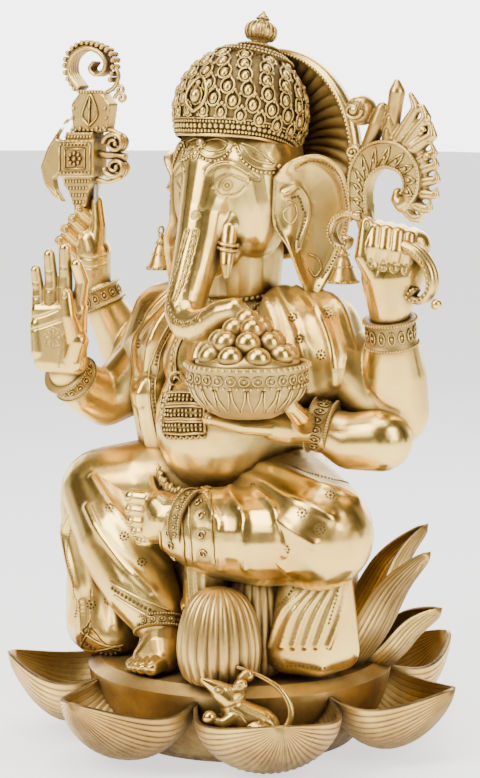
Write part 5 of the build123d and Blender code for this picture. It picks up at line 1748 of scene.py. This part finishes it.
leaf = [on_axe(*p, 9) for p in ((-149, 268), (-156, 278), (-153, 290), (-148, 300), (-143, 290), (-141, 278), (-149, 268))]
wire(trim, curve_through(leaf), 1.4)
wire(trim, [on_axe(-149, 270, 9), on_axe(-148.5, 284, 9.4), on_axe(-148, 298, 9)], 1.2)
for u, v in ((-165, 266), (-166, 276), (-165, 286), (-134, 266), (-132, 276), (-133, 286), (-158, 266), (-141, 266)):
    bead(trim, on_axe(u, v, 8.5), 2.2)
for line in (((-167, 264), (-133, 264)), ((-160, 303), (-137, 303))):
    for k in range(9):
        share = k / 8
        bead(trim, on_axe(line[0][0] + (line[1][0] - line[0][0]) * share, line[0][1], 8), 2)
Wax(bm, 1.2, 3).cast("axe_crest", antique, "antique_brass", "axe_crest", trim=trim)

# Noose: a flaming arch over a ring, pierced with scrolls, cast flat in one piece.
noose_out = Vector((0.07, -0.9975, 0))
on_noose = make_plane(noose_out, noose_out.dot(Vector((194, -2, 555))))
outer_edge = ((118, 172), (116, 198), (118, 225), (129, 244), (148, 252), (167, 248), (181, 234), (186, 217), (184, 200), (177, 189))
inner_edge = ((133, 172), (132, 202), (137, 217), (148, 226), (160, 225), (169, 219), (172, 208), (169, 200))


def smooth_line(points, step=3):
    return [(p.x, p.y) for p in curve_through([Vector((*p, 0)) for p in points], step)]


bm = bmesh.new()
slab(bm, smooth_line(outer_edge) + smooth_line(inner_edge)[::-1], on_noose, 17)
chain(bm, (*on_noose(175, 192), 7.5), (*on_noose(165, 187), 7), (*on_noose(160, 193), 6), (*on_noose(161, 200), 5))
chain(bm, (*on_noose(126, 178), 9), (*on_noose(130, 160), 8), (*on_noose(140, 140), 8))
skin_over(bm, (*on_noose(132, 248), 8), (*on_noose(140, 270), 8), (*on_noose(145, 286), 6))
skin_over(bm, (*on_noose(152, 250), 8), (*on_noose(154, 272), 7.5), (*on_noose(159, 292), 7))
chain(bm, (*on_noose(158, 290), 7.5), (*on_noose(160, 302), 8), (*on_noose(160, 313), 3))
skin_over(bm, (*on_noose(124, 284), 15), (*on_noose(124, 284, 3), 14))
flames = (
    ((162, 254), (171, 270), (180, 286), (174, 300)), ((172, 251), (181, 264), (190, 276), (186, 288)),
    ((178, 245), (187, 252), (196, 258), (194, 270)), ((184, 233), (191, 238), (198, 240), (196, 248)),
    ((187, 223), (194, 226), (200, 228), (198, 235)), ((188, 211), (195, 212), (201, 213), (200, 220)),
    ((187, 199), (193, 198), (200, 197), (200, 204)), ((181, 187), (187, 184), (193, 183), (194, 190)),
    ((171, 181), (176, 175), (182, 173), (186, 178)),
)
for flame in flames:
    size = 1.0 if flame[0][1] > 243 else 0.72
    chain(bm, *[(*on_noose(*spot), radius * size) for spot, radius in zip(flame, (8, 6.5, 5, 2.6))])
wax = Wax(bm, 1.2, 3)
for flame in flames:
    wax.draw(wax.snap(curve_through([on_noose(*spot, 9) for spot in flame], 1)), 1.3, -1.2, 0.9)
for right, above in ((153, 262), (155, 275)):
    wax.draw(wax.snap(curve_through([on_noose(right - 6, above - 5, 9), on_noose(right, above + 4, 9), on_noose(right + 6, above - 5, 9)], 1)), 1.2, -1.2, 0.9)
for start in np.arange(0, 2 * math.pi, math.pi / 7):
    arc = [
        on_noose(124 + r * math.cos(start - 0.11 * (15 - r)), 284 + r * math.sin(start - 0.11 * (15 - r)), 16)
        for r in (5, 7, 9, 11, 13, 15)
    ]
    wax.draw(wax.snap(curve_through(arc, 1)), 1.2, -1.4, 0.95)
trim = bmesh.new()
spiral(trim, on_noose, 124, 284, 9, 1.3, -1, 0, 15, 1.9)
for edge in (outer_edge, inner_edge):
    path = curve_through([on_noose(*spot, 9) for spot in edge], 0.8)
    bead_row(trim, path, 1.5, 1.0)
    wire(trim, [p - noose_out * 1 for p in path], 1.9)
outer_path, inner_path = smooth_line(outer_edge, 1), smooth_line(inner_edge, 1)
panels = 11
for k in range(panels):

    def on_band(share, out):
        a, b = inner_path[int(share * (len(inner_path) - 1))], outer_path[int(share * (len(outer_path) - 1))]
        return on_noose(a[0] + (b[0] - a[0]) * out, a[1] + (b[1] - a[1]) * out, 9)

    first, last = (k + 0.08) / panels, (k + 0.92) / panels
    middle = (first + last) / 2
    wire(trim, [on_band(first, 0.14), on_band((first + middle) / 2, 0.55), on_band(middle, 0.85)], 1.1, 5)
    wire(trim, [on_band(last, 0.14), on_band((last + middle) / 2, 0.55), on_band(middle, 0.85)], 1.1, 5)
    bead(trim, on_band(middle, 0.4), 2.0)
for right, above, size in ((117, 241, 7), (186, 262, 4), (191, 236, 3)):
    for lift in (-3, 3):
        spiral(trim, on_noose, right, above, size, 1.4, 1, 0, lift, 2.4)
crescent = curve_through([on_noose(*p, 2) for p in ((128, 175), (112, 179), (99, 172), (95, 159), (101, 147), (110, 145), (113, 152), (107, 155))])
for lift in (-3, 3):
    wire(trim, [p + noose_out * lift for p in crescent], 4.6, 8, lambda share: 1.25 - 0.75 * share)
bead_row(trim, [p + noose_out * 7.5 for p in crescent], 1.3, 1.2)
wax.cast("noose", antique, "antique_brass", "noose", trim=trim)

# Noose tail: the rope's two ends, one hooked below the fist and one behind the thumb.
bm = bmesh.new()
tail = curve_through([on_noose(*p) for p in ((168, 146), (182, 138), (194, 120), (195, 101), (185, 90), (175, 94), (180, 102))])
for lift in (-3, 3):
    wire(bm, [p + noose_out * lift for p in tail], 6.6, 10, lambda share: 1.05 - 0.6 * share)
bead(bm, on_noose(200, 86, 0), 5.5, fine=True)
bead_row(bm, [p + noose_out * 9 for p in tail], 1.5, 1.2)
new_object("noose_tail_cast", to_mesh("noose_tail", bm), antique, "antique_brass", "noose_tail")

# Mouse: lying on the front petal with a sweet in its paws, its tail curled over the haunch.
bm = bmesh.new()
mouse_at = Vector((120, -126, 60))


def on_mouse(right, away, above, radius=0.0):
    """A ball placed to the viewer's right of, in front of and above the mouse's middle."""
    place = mouse_at + across * right - Vector((-0.669, 0.743, 0)) * away + Vector((0, 0, above))
    return (*place, radius) if radius else place


skin_over(bm, on_mouse(-2, 0, 2, 15), on_mouse(14, 0, -6, 17), on_mouse(-12, 0, 10, 12))
skin_over(bm, on_mouse(18, 2, -8, 16), on_mouse(8, 6, -16, 12))
skin_over(bm, on_mouse(-14, 0, 18, 12), on_mouse(-24, 0, 26, 9), on_mouse(-10, -2, 22, 11))
chain(bm, on_mouse(-22, 0, 27, 9), on_mouse(-33, 1, 34, 5.5), on_mouse(-40, 2, 38, 2.8))
chain(bm, on_mouse(-10, 8, 4, 7), on_mouse(-22, 12, -2, 5), on_mouse(-30, 12, 1, 4.4))
chain(bm, on_mouse(-10, -8, 4, 7), on_mouse(-24, -4, -2, 5), on_mouse(-32, 4, 2, 4.4))
chain(bm, on_mouse(14, 10, -10, 12), on_mouse(2, 14, -22, 6.5), on_mouse(-12, 15, -24, 5))
for right, away, above in ((-10, 8, 32), (-4, -6, 38)):
    skin_over(bm, on_mouse(right, away, above, 4), on_mouse(right + 6, away, above + 3, 6.5))
wax = Wax(bm, 0.9, 4)
for right, away, above in ((-5, 14, 34), (1, -2, 42)):
    wax.push(on_mouse(right, away, above), 4.5, -2.4, 0.6)
wax.renew()
wax.chased([on_mouse(-6, 18, -14), on_mouse(2, 20, -2), on_mouse(14, 20, 4), on_mouse(26, 18, -2)], 1.7, -1.6, 0.9)
wax.chased([on_mouse(-14, 14, 12), on_mouse(-4, 16, 8), on_mouse(2, 18, 0)], 1.4, -1, 0.6)
eye_spot = wax.snap([on_mouse(-26, 12, 31)])[0]
ring = [eye_spot + across * 3.6 * math.cos(t) + Vector((0, 0, 2.4 * math.sin(t))) for t in [k * 0.4 for k in range(17)]]
wax.draw(wax.snap(ring), 0.9, -0.9, 1.0)
trim = bmesh.new()
bead(trim, eye_spot, 2.0, fine=True)
bead(trim, on_mouse(-34, 12, 4), 7, fine=True)
bead(trim, on_mouse(-41, 2, 39), 2.4, fine=True)
tail = [on_mouse(*p) for p in ((28, 4, -12), (40, 6, -6), (44, 4, 10), (34, -2, 28), (14, -8, 40), (-8, -12, 48))]
wire(trim, curve_through(tail), 3.2, 8, lambda share: 1.15 - 0.6 * share)
wax.cast("mouse", polished, "polished_brass", "mouse", trim=trim)

low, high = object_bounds()
{"after_load": cad_box, "before_finish": [list(low), list(high)]}
